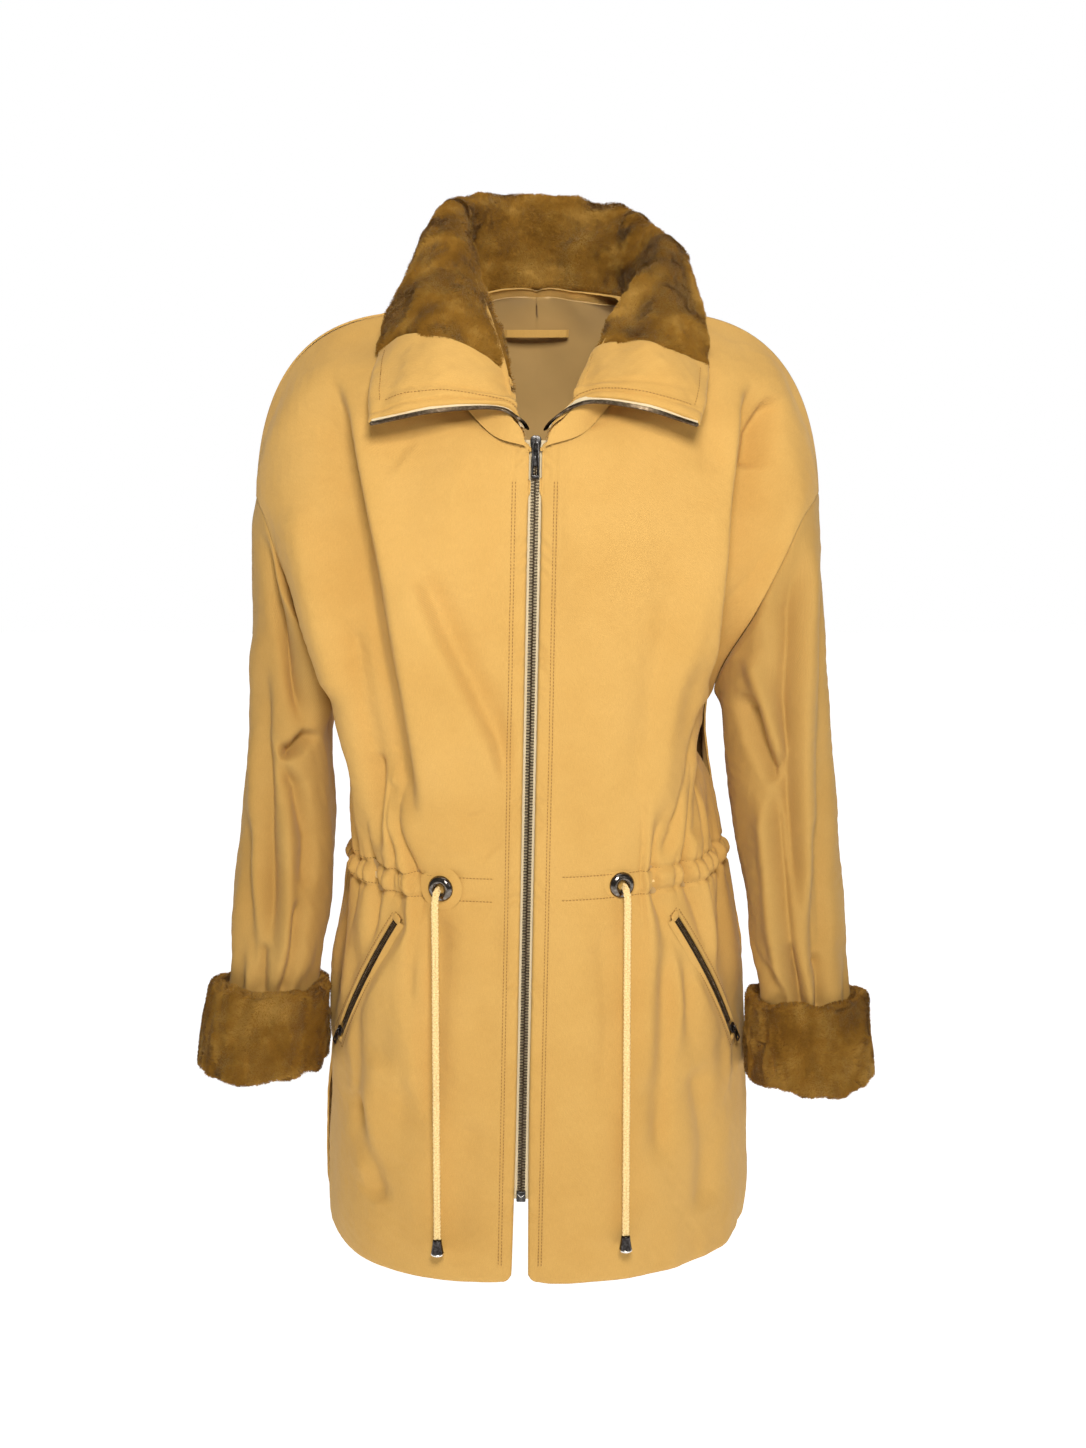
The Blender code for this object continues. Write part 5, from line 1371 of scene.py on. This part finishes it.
def make_collar(side):
    sign = 1 if side == "right" else -1
    half = COLLAR_LAST / 2
    # Plush: from the facing round to the middle of the back, rolled in at its edges.
    columns, rows = ((200, 120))
    points, normals, k, v = collar_patch(side, lambda v: facing_line(side, v),
                                         lambda v: half + 0 * v, 0.0, 1.0,
                                         columns, rows)
    edge = np.minimum((k - facing_line(side, v)) / 0.10, (1 - v) / 0.06)
    edge = np.minimum(edge, (v + 0.02) / 0.05)
    edge = np.clip(edge, 0, 1)
    relief = (0.0012 * waves(points, 0.040, 61) + 0.0004 * waves(points, 0.012, 63)
              - 0.0052 * (1 - np.sqrt(1 - (1 - edge) ** 2)))
    points = points + normals * relief[..., None]
    piece = grid_piece("collar_pile_" + side, points, sign)
    names = ["collar_wing_plush_" + side, "collar_stand_plush_" + side]
    if side == "left":
        names.append("collar_back_plush")
    keep_collar(piece, PILE, names)
    lively = grid_normals(points) * sign
    spread = np.gradient(points, axis=0)
    spread /= np.linalg.norm(spread, axis=-1, keepdims=True)
    flow = pile_flow(points, lively, spread, 65, 0.045, 1.3)
    fibres = blades("collar_fibres_" + side, points, lively, flow,
                    62000, 0.0034, 67 + sign)
    keep_collar(fibres, FIBRE)
    # Shell: the underside, seen below and behind the wings.
    shell, outward, k, v = collar_patch(side, lambda v: 0.02 + 0 * v, lambda v: half + 0 * v,
                                        0.0, 1.0, 90, 50)
    bulge = 0.0006 * waves(shell, 0.05, 71)
    shell = shell - outward * (PLUSH_SHELL_DEPTH + bulge)[..., None]
    under = grid_piece("collar_under_" + side, shell, -sign)
    names = ["collar_wing_shell_" + side, "collar_stand_shell_" + side]
    if side == "left":
        names.append("collar_back_shell")
    keep_collar(under, TWILL, names)
    # Facing: the twill strip between the zip and the plush.
    face, outward, k, v = collar_patch(side, np.zeros_like,
                                       lambda v: facing_line(side, v) + 0.03, 0.06, 1.0, 60, 120)
    edge = np.clip(np.minimum((1 - v) / 0.03, k / 0.045), 0, 1)
    crease = fold_along(k, v)
    lift = (0.0006 + 0.0009 * waves(face, 0.045, 73) + 0.0002 * waves(face, 0.012, 74) + crease
            - 0.0042 * (1 - np.sqrt(1 - (1 - edge) ** 2)))
    lift = lift - 0.0010 * bell(k - FACING_STITCHES, 0.03) + 0.0006 * bell(k - 0.13, 0.06)
    face = face + outward * lift[..., None]
    strip = grid_piece("collar_facing_cloth_" + side, face, sign)
    keep_collar(strip, TWILL, ["collar_wing_facing_" + side])
    lines = []
    column = np.argmin(np.abs(k[0] - FACING_STITCHES))
    normals_here = grid_normals(face) * sign
    lines.append((face[4:-7, column] + normals_here[4:-7, column] * 0.0003,
                  normals_here[4:-7, column]))
    row = int(0.955 * len(v)) - 1
    lines.append((face[row, column:-3] + normals_here[row, column:-3] * 0.0003,
                  normals_here[row, column:-3]))
    stitches = stitch_bars("collar_stitches_" + side, lines)
    keep_collar(stitches, SEAM_THREAD)
    make_collar_zip(side)


def fold_along(k, v):
    """Soft diagonal wrinkles where the facing bends over the roll."""
    first = bell(k - 0.75 * (1.25 - v), 0.10) * bell(v - 0.55, 0.25)
    second = bell(k - 0.55 - 0.5 * (v - 0.5), 0.08) * bell(v - 0.7, 0.2)
    return 0.0016 * first - 0.0014 * second


def teeth_mesh(name, places, across, along, outs, half_width, pitch, height):
    """Zip teeth, each from its meeting end outward, with softened upper edges."""
    shape = np.array([(0.0, .22), (.12, .36), (.34, .36), (.50, .25), (1.0, .25), (1.0, -.25),
                      (.50, -.25), (.34, -.36), (.12, -.36), (0.0, -.22)])
    levels = [(-0.5, 1.0), (0.25, 1.0), (0.5, 0.72)]
    centre = np.array([0.45, 0.0])
    rings = []
    for level, size in levels:
        flat = (shape - centre) * size + centre
        ring = (places[:, None] + across[:, None] * (flat[None, :, :1] * half_width)
                + along[:, None] * (flat[None, :, 1:] * pitch)
                + outs[:, None] * level * height)
        rings.append(ring)
    verts = np.stack(rings, axis=1)
    count, sides = len(places), len(shape)
    one = grid_faces(len(levels), sides, wrap=True)
    top = [[2 * sides + i for i in (0, 1, 8, 9)], [2 * sides + i for i in (1, 2, 7, 8)],
           [2 * sides + i for i in (2, 3, 6, 7)], [2 * sides + i for i in (3, 4, 5, 6)]]
    block = np.concatenate([one, np.array(top)])
    faces = (block[None] + (np.arange(count) * len(levels) * sides)[:, None, None])
    thing = mesh_from(name, verts, faces.reshape(-1, 4), smooth=False)
    work = bmesh.new()
    work.from_mesh(thing.data)
    bmesh.ops.recalc_face_normals(work, faces=work.faces)
    work.to_mesh(thing.data)
    work.free()
    return thing


def make_collar_zip(side):
    sign = 1 if side == "right" else -1
    heights = np.linspace(0.17, 0.985, 160)
    near, far = station(side, 0.0), station(side, 0.1)
    rim = collar(np.full(160, near), heights)
    inner = collar(np.full(160, far), heights)
    outward = rim - inner
    outward /= np.linalg.norm(outward, axis=1, keepdims=True)
    step = np.gradient(rim, axis=0)
    step /= np.linalg.norm(step, axis=1, keepdims=True)
    up = np.cross(outward, step) * -sign
    base = rim - up * 0.0016
    line = walk(np.concatenate([base, outward, up], axis=1), 0.0027)
    at, out, top = line[:, :3], line[:, 3:6], line[:, 6:]
    out /= np.linalg.norm(out, axis=1, keepdims=True)
    top /= np.linalg.norm(top, axis=1, keepdims=True)
    along = np.cross(out, top)
    teeth = teeth_mesh("collar_teeth_" + side, at + out * 0.0052, -out, along, top, 0.0036,
                       0.0018, 0.0019)
    keep_collar(teeth, TOOTH_METAL, ["collar_zip_wing_" + side,
                                                        "collar_zip_stand_" + side])
    tape = np.stack([base + outward * reach + up * lift for reach, lift in
                     ((-0.0030, -0.0006), (0.0015, -0.0005), (0.0032, -0.0003), (0.0038, 0.0),
                      (0.0032, 0.0003), (0.0015, 0.0004), (-0.0030, 0.0006))], axis=1)
    keep_collar(grid_piece("collar_tape_" + side, tape, sign), TAPE)
    stop = bars("collar_zip_stop_" + side, [at[-1] + out[-1] * 0.0016],
                [at[-1] + out[-1] * 0.0054], [top[-1]], 0.0030, 0.0026, 8, 12)
    keep_collar(stop, TOOTH_METAL)


for side_name in SIDES:
    make_collar(side_name)


# ---------------------------------------------------------------- main zip
DOWN = (ZIP_END - ZIP_TOP).normalized()
OUT = (Vector((0, -1, 0)) - DOWN * DOWN.dot(Vector((0, -1, 0)))).normalized()
ACROSS = DOWN.cross(OUT) * (1 if DOWN.cross(OUT).x > 0 else -1)
ZIP_LENGTH = (ZIP_END - ZIP_TOP).length
TOOTH_PITCH = 0.0027
MAIN_AXES = (ZIP_TOP, ACROSS, DOWN, OUT)


def at_axes(axes, a, b, c):
    """World points from places along three axes; arrays are allowed."""
    origin, first, second, third = (np.array(axis) for axis in axes)
    a, b, c = np.broadcast_arrays(*(np.asarray(value, float) for value in (a, b, c)))
    return origin + a[..., None] * first + b[..., None] * second + c[..., None] * third


def make_main_zip():
    down = np.arange(0.0125, ZIP_LENGTH - 0.0065, TOOTH_PITCH)
    for side, sign in SIDES.items():
        offset = 0.0 if sign > 0 else TOOTH_PITCH / 2
        places = at_axes(MAIN_AXES, -sign * 0.0006, down + offset, -0.0005)
        count = len(places)
        across = np.repeat([np.array(ACROSS) * sign], count, axis=0)
        along = np.repeat([np.array(DOWN)], count, axis=0)
        outs = np.repeat([np.array(OUT)], count, axis=0)
        teeth = teeth_mesh("main_teeth_" + side, places, across, along, outs, 0.0041,
                           TOOTH_PITCH * 0.66, 0.0019)
        keep(teeth, TOOTH_METAL, ROOT, ["zip_teeth_" + side])
        width, length = np.meshgrid(np.array([0.0002, 0.0035, 0.007, 0.0105, 0.014]) * sign,
                                    np.linspace(0.004, ZIP_LENGTH + 0.002, 60))
        tape = at_axes(MAIN_AXES, width, length, -0.0016 - np.abs(width) * 0.14)
        keep(grid_piece("main_tape_" + side, tape, -sign), TAPE, ROOT,
             ["zip_tape_" + side])
    stop = slab("bottom_stop", MAIN_AXES, [(-.0042, -.0060), (.0042, -.0060), (.0042, .0040),
                                           (-.0042, .0040)], -0.0024, 0.0012, 0.0010,
                (0, ZIP_LENGTH))
    keep(stop, SLIDER_METAL, ROOT, ["zip_bottom_stop"])
    chevron = [((-.0030, -.0035), (0, -.0005)), ((.0030, -.0035), (0, -.0005))]
    starts = [at_axes(MAIN_AXES, a[0], ZIP_LENGTH + a[1], 0.0013) for a, _ in chevron]
    ends = [at_axes(MAIN_AXES, b[0], ZIP_LENGTH + b[1], 0.0013) for _, b in chevron]
    mark = bars("bottom_stop_mark", starts, ends, [np.array(OUT)] * 2, 0.0012, 0.0006)
    keep(mark, RIM_METAL, ROOT)
    make_slider("main", MAIN_AXES, 0.0, 1.0, 0.030, "slider", "pull", "zip_slider", "zip_pull")


def slab(name, axes, outline, low, high, soft, shift=(0, 0)):
    """A flat shape with softened edges, pushed from one height to another."""
    mesh = bpy.data.meshes.new(name)
    work = bmesh.new()
    base = [work.verts.new(Vector(at_axes(axes, a + shift[0], b + shift[1], low)))
            for a, b in outline]
    face = work.faces.new(base)
    grown = bmesh.ops.extrude_face_region(work, geom=[face])
    lifted = [g for g in grown["geom"] if isinstance(g, bmesh.types.BMVert)]
    bmesh.ops.translate(work, verts=lifted, vec=Vector(axes[3]) * (high - low))
    bmesh.ops.recalc_face_normals(work, faces=work.faces)
    bmesh.ops.bevel(work, geom=list(work.edges), offset=min(soft, (high - low) * 0.35),
                    segments=3, affect="EDGES", profile=0.5)
    work.to_mesh(mesh)
    work.free()
    for polygon in mesh.polygons:
        polygon.use_smooth = True
    mesh.set_sharp_from_angle(angle=math.radians(50))
    return link(name, mesh)


def rounded_loop(outline, radius):
    ends = rounded([outline[-1]] + list(outline) + [outline[0]], radius, 4)
    return ends[1:-1]


def make_slider(name, axes, lift, scale, pull_length, body, pull_body, node, pull_node):
    """The slider plate, its bridge, and the pull with its eye and lower slot."""
    outline = [(-0.0036, 0.0132), (-0.0047, 0.0055), (-0.0047, 0.0020), (-0.0028, 0.0),
               (0.0028, 0.0), (0.0047, 0.0020), (0.0047, 0.0055), (0.0036, 0.0132)]
    outline = rounded_loop([(a * scale, b * scale) for a, b in outline], 0.0012 * scale)
    plate = slab(name + "_slider_plate", axes, outline, 0.0008 + lift, 0.0025 + lift, 0.0005)
    keep(plate, SLIDER_METAL, body, [node])
    arch = rounded([(0.0020, -0.0002), (0.0024, 0.0020), (0.0040, 0.0029), (0.0090, 0.0029),
                    (0.0106, 0.0020), (0.0110, -0.0002)], 0.001, 4)
    route = [at_axes(axes, 0.0, b * scale, 0.0024 + lift + c) for b, c in arch]
    bridge = tube(name + "_slider_bridge", route, 0.00058 * scale, 10)
    keep(bridge, SLIDER_METAL, body)
    pivot = Vector(at_axes(axes, 0.0, 0.0065 * scale, 0.0037 + lift))
    pull_axes = (pivot, axes[1], axes[2], axes[3])
    half, thick = 0.0036 * scale, 0.0005
    outer = rounded_loop([(-half * 0.8, -0.0012), (half * 0.8, -0.0012),
                          (half, pull_length * .45), (half * 1.05, pull_length),
                          (-half * 1.05, pull_length), (-half, pull_length * .45)],
                         0.0022 * scale)
    pull = slab(name + "_pull_tab", pull_axes, outer, -thick, thick, 0.0003)
    for label, box in (("eye", (-.0018 * scale, .0018 * scale, .0006, .0068 * scale)),
                       ("slot", (-.0015 * scale, .0015 * scale, pull_length * .64,
                                 pull_length * .91))):
        corners = [(box[0], box[2]), (box[1], box[2]), (box[1], box[3]), (box[0], box[3])]
        cutter = slab(name + "_" + label, pull_axes, rounded_loop(corners, 0.0010 * scale),
                      -0.003, 0.003, 0.00001)
        hole = pull.modifiers.new(label, "BOOLEAN")
        hole.operation = "DIFFERENCE"
        hole.solver = "EXACT"
        hole.object = cutter
        bpy.context.view_layer.update()
        graph = bpy.context.evaluated_depsgraph_get()
        cut_mesh = bpy.data.meshes.new_from_object(pull.evaluated_get(graph))
        pull.modifiers.clear()
        pull.data = cut_mesh
        bpy.data.objects.remove(cutter)
    keep(pull, SLIDER_METAL, pull_body, [pull_node])


make_main_zip()


# ---------------------------------------------------------------- pockets
def arc_grid(pocket, angles, section):
    return np.array([[tuple(pocket.place(a, out, across)) for out, across in section]
                     for a in angles])


def turned_out(points, row, column, facing):
    """1 or -1: whether a grid's own normals already face the way they should."""
    normal = Vector(grid_normals(points)[row, column])
    return 1 if normal.dot(facing) > 0 else -1


def make_pocket(side):
    pocket = POCKETS[side]
    end = pocket.angle
    angles = np.linspace(-0.012, end + 0.012, 90)
    strips = []
    gape = 0.0010 * np.sin(np.pi * np.clip(angles / end, 0, 1)) ** 2
    for edge_side in (-1, 1):
        rows = []
        for angle, open_more in zip(angles, gape):
            near = 0.0040 + (open_more if edge_side < 0 else 0.0)
            section = rounded([(-0.0052, near), (-0.0006, near), (0.0014, near + 0.0010),
                               (0.0013, 0.0064), (0.0001, 0.0080), (-0.0016, 0.0104)],
                              0.0010, 4)
            rows.append([tuple(pocket.place(angle, out, across * edge_side))
                         for out, across in section])
        strips.append(np.array(rows))
    for label, points in zip(("upper", "lower"), strips):
        outward = turned_out(points, 45, points.shape[1] // 2, pocket.facing(end / 2)[0])
        lip = grid_piece("pocket_lip_" + label + "_" + side, points, outward)
        keep(lip, TWILL, ROOT)
    for label, angle in (("top", end + 0.0105), ("low", -0.0105)):
        ends = pocket.place(angle, 0.0006, -0.0060), pocket.place(angle, 0.0006, 0.0060)
        bar = bars("pocket_bar_" + label + "_" + side, [tuple(ends[0])], [tuple(ends[1])],
                   [tuple(pocket.facing(angle)[0])], 0.0075, 0.0026, 10, 12)
        keep(bar, TWILL, ROOT)
    pitch = 0.0021
    at = np.arange(0.014 / pocket.radius, end, pitch / pocket.radius)
    for row_side in (-1, 1):
        row = at + (0.5 * pitch / pocket.radius if row_side > 0 else 0)
        places = np.array([tuple(pocket.place(a, -0.0008, 0.0008 * row_side)) for a in row])
        frames = [pocket.facing(a) for a in row]
        outs = np.array([tuple(f[0]) for f in frames])
        across = np.array([tuple(f[1]) for f in frames]) * row_side
        teeth = teeth_mesh("pocket_teeth_%s_%s" % (side, "a" if row_side > 0 else "b"), places,
                           across, np.cross(outs, across), outs, 0.0029, pitch * 0.7, 0.0018)
        keep(teeth, TOOTH_METAL, ROOT,
             ["pocket_zip_" + side] if row_side > 0 else ())
    tape = arc_grid(pocket, angles[2:-2], [(-0.0030, -0.0046), (-0.0022, 0), (-0.0030, 0.0046)])
    outward = turned_out(tape, 40, 1, pocket.facing(end / 2)[0])
    keep(grid_piece("pocket_tape_" + side, tape, outward), TAPE_DARK, ROOT)
    angle = 0.012 / pocket.radius
    out, across = pocket.facing(angle)
    down = across.cross(out)
    if down.dot(pocket.place(angle + 0.01, 0, 0) - pocket.place(angle, 0, 0)) > 0:
        down, across = -down, -across
    make_slider("pocket_" + side, (pocket.place(angle, 0.0, 0.0), across, down, out), 0.0006,
                0.8, 0.018, "pocket_slider_body_" + side, "pocket_pull_body_" + side,
                "pocket_slider_" + side, "pocket_pull_" + side)
    lines = []
    for offset in (-0.0088, 0.0088):
        route = [pocket.place(a, 0.0, offset) for a in np.linspace(-0.020, end + 0.020, 80)]
        lines.append(drape(side, route))
    for angle in (-0.020, end + 0.020):
        route = [pocket.place(angle, 0.0, across) for across in np.linspace(-.0088, .0088, 12)]
        lines.append(drape(side, route))
    stitches = stitch_bars("pocket_stitches_" + side, lines)
    keep(stitches, SEAM_THREAD, ROOT)


def drape(side, route):
    """Lay a line of points on the front's finished cloth."""
    route = np.array([tuple(p) for p in route])
    u, v = solve_uv(FRONTS[side], route[:, 0], route[:, 2])
    points, normals = front_surface(side, u, v)
    return points + normals * 0.00025, normals


TAPE_DARK = tape_look("pocket_tape_weave", (0.30, 0.20, 0.10))
for side_name in SIDES:
    make_pocket(side_name)


# ---------------------------------------------------------------- eyelets and drawcords
def make_eyelet(side):
    x, z = EYELET_PLACES[side]
    panel = FRONTS[side]
    u, v = solve_uv(panel, np.array([x * SIDES[side]]), np.array([z]))
    place = panel(u, v)[0]
    out = panel_normal(panel, u, v)[0]
    dome = rounded([(.0042, -.0018), (.0050, -.0018), (.0050, .0009), (.0116, .0009),
                    (.0119, .0014), (.0115, .0028), (.0103, .0043), (.0084, .0054),
                    (.0066, .0056), (.0051, .0048), (.0042, .0030), (.0042, -.0018)],
                   0.0006, 4)
    ring = lathe("eyelet_dome_" + side, dome, place, out, 96)
    keep(ring, EYELET_METAL, ROOT, ["eyelet_" + side])
    dent = lathe("eyelet_cloth_" + side, [(.0112, .0012), (.0130, .0006), (.0165, -.0002),
                                          (.0200, -.0008)], place, out, 64)
    keep(dent, TWILL, ROOT)
    washer = lathe("eyelet_back_" + side, [(.0054, -.0025), (.0085, -.0025), (.0085, -.0021),
                                           (.0054, -.0021), (.0054, -.0025)], place, out, 48)
    keep(washer, EYELET_METAL, ROOT, ["eyelet_washer_" + side])
    make_cord(side, place, out)


def make_cord(side, place, out):
    body = "cord_body_" + side
    keys = np.array([place + out * along + np.array([SIDES[side] * dx, dy, dz])
                     for along, dx, dy, dz in CORD_ROUTE])
    knots = np.concatenate([[0.0], np.cumsum(np.linalg.norm(np.diff(keys, axis=0), axis=1))])
    count = 330
    route = through(keys, knots, np.linspace(0, knots[-1], count))
    across, up = frames_along(route)[1:]
    # A flattened braid with a groove down its middle; its strands show as slanted ribs.
    sides = 28
    angle = 2 * np.pi * np.arange(sides) / sides
    wide, thin = CORD_WIDTH / 2, CORD_WIDTH * 0.30
    groove = 1 - 0.50 * bell((angle - np.pi / 2), 0.36)
    length = np.linspace(0, knots[-1], count)[:, None]
    ribs = 1 + 0.10 * np.sin(2 * np.pi * length / 0.0040 + np.abs(angle - np.pi / 2) * 2.2)
    twist = 0.35 * np.sin(length / 0.11 * 2 * np.pi + 0.5) * smoothstep(0.02, 0.08, length)
    a = wide * np.cos(angle) * ribs
    b = thin * np.sin(angle) * groove * ribs
    points = (route[:, None] + across[:, None] * (a * np.cos(twist) - b * np.sin(twist))[..., None]
              + up[:, None] * (a * np.sin(twist) + b * np.cos(twist))[..., None])
    cord = grid_piece("cord_braid_" + side, points, 1, wrap=True)
    keep(cord, CORD, body, ["drawcord_" + side])
    start = route[-1] + np.array([0, 0, -GAP])
    bell_shape = rounded([(.0002, .0), (.0036, .0), (.0041, .0007), (.0044, .0040),
                          (.0049, .0075), (.0057, .0120), (.0058, .0128)], 0.0006, 5)
    cap = lathe("cord_bell_" + side, bell_shape, start, (0, 0, -1), 64)
    keep(cap, BELL_METAL, body, ["cord_end_" + side])
    lip = rounded([(.0057, .0126), (.0062, .0132), (.0062, .0142), (.0055, .0150),
                   (.0045, .0150), (.0040, .0130), (.0002, .0120)], 0.0005, 5)
    rim = lathe("cord_bell_rim_" + side, lip, start, (0, 0, -1), 64)
    keep(rim, RIM_METAL, body)


for side_name in SIDES:
    make_eyelet(side_name)


# ---------------------------------------------------------------- linings and inner pieces
def make_linings():
    for side, sign in SIDES.items():
        u, v = np.meshgrid(np.linspace(0.10, 0.97, 90), np.linspace(0.03, 0.975, 180))
        points, normals = front_surface(side, u, v)
        lining = grid_piece("front_lining_" + side, points - normals * LINING_DEPTH, sign)
        keep(lining, SATIN, ROOT, ["lining_front_" + side])
        low = solve_uv(FRONTS[side], np.array([sign * 0.12]), np.array([-0.74]))[1][0]
        high = solve_uv(FRONTS[side], np.array([sign * 0.12]), np.array([-0.545]))[1][0]
        u, v = np.meshgrid(np.linspace(0.40, 0.86, 40), np.linspace(low, high, 50))
        points, normals = front_surface(side, u, v)
        bag = grid_piece("pocket_bag_cloth_" + side, points - normals * 0.0070, sign)
        keep(bag, SATIN, ROOT, ["pocket_bag_" + side])
    half = np.linspace(BACK_START, 0.97, 60)
    u, v, points, waist_z = back_grid(half, np.linspace(0.03, 0.975, 150))
    normals = -grid_normals(points)
    normals *= np.sign(np.mean(normals[..., 1]))
    shape = back_relief(points, u, v, waist_z)
    points = points - normals * (LINING_DEPTH - shape)[..., None]
    lining = back_piece("back_lining", points, v)
    keep(lining, SATIN, ROOT, ["lining_back"])


def make_seams(side):
    """Topstitching down the placket and along both edges of the waist tunnel."""
    sign = SIDES[side]
    down = np.linspace(-0.130, -0.842, 400)
    waist = EYELET_PLACES[side][1]
    lines = []
    for reach in (0.0168, 0.0196):
        lines.append(drape(side, np.stack([zip_x(down) + sign * reach, 0 * down, down], axis=1)))
    across = np.linspace(0.030, 0.168, 160)
    for lift in (-TUNNEL_HALF, TUNNEL_HALF):
        height = waist + 0.0 * across + lift
        lines.append(drape(side, np.stack([zip_x(height) + sign * across, 0 * across, height],
                                          axis=1)))
    stitches = bars("front_stitches_" + side, *stitched(lines), 0.0008, 0.0006)
    keep(stitches, SEAM_THREAD, ROOT)


def make_floor():
    verts = [(-6, -6, FLOOR), (6, -6, FLOOR), (6, 6, FLOOR), (-6, 6, FLOOR)]
    floor = mesh_from("floor", verts, [[0, 1, 2, 3]])
    look = Look("pale_floor")
    look.set(colour=(0.92, 0.92, 0.92, 1), roughness=0.9)
    look.shader.inputs["Emission Color"].default_value = (1, 1, 1, 1)
    look.shader.inputs["Emission Strength"].default_value = 0.80
    floor.data.materials.append(look.material)


def paint_left_over():
    """The CAD nodes that stay in sight take the looks of the pieces beside them."""
    for node, look in {"hanger_loop": TWILL, "waist_casing": SATIN,
                       "drawcord_inside": CORD}.items():
        for slot in bpy.data.objects[node].material_slots:
            slot.link = "OBJECT"
            slot.material = look


make_linings()
for side_name in SIDES:
    make_seams(side_name)
make_floor()
paint_left_over()
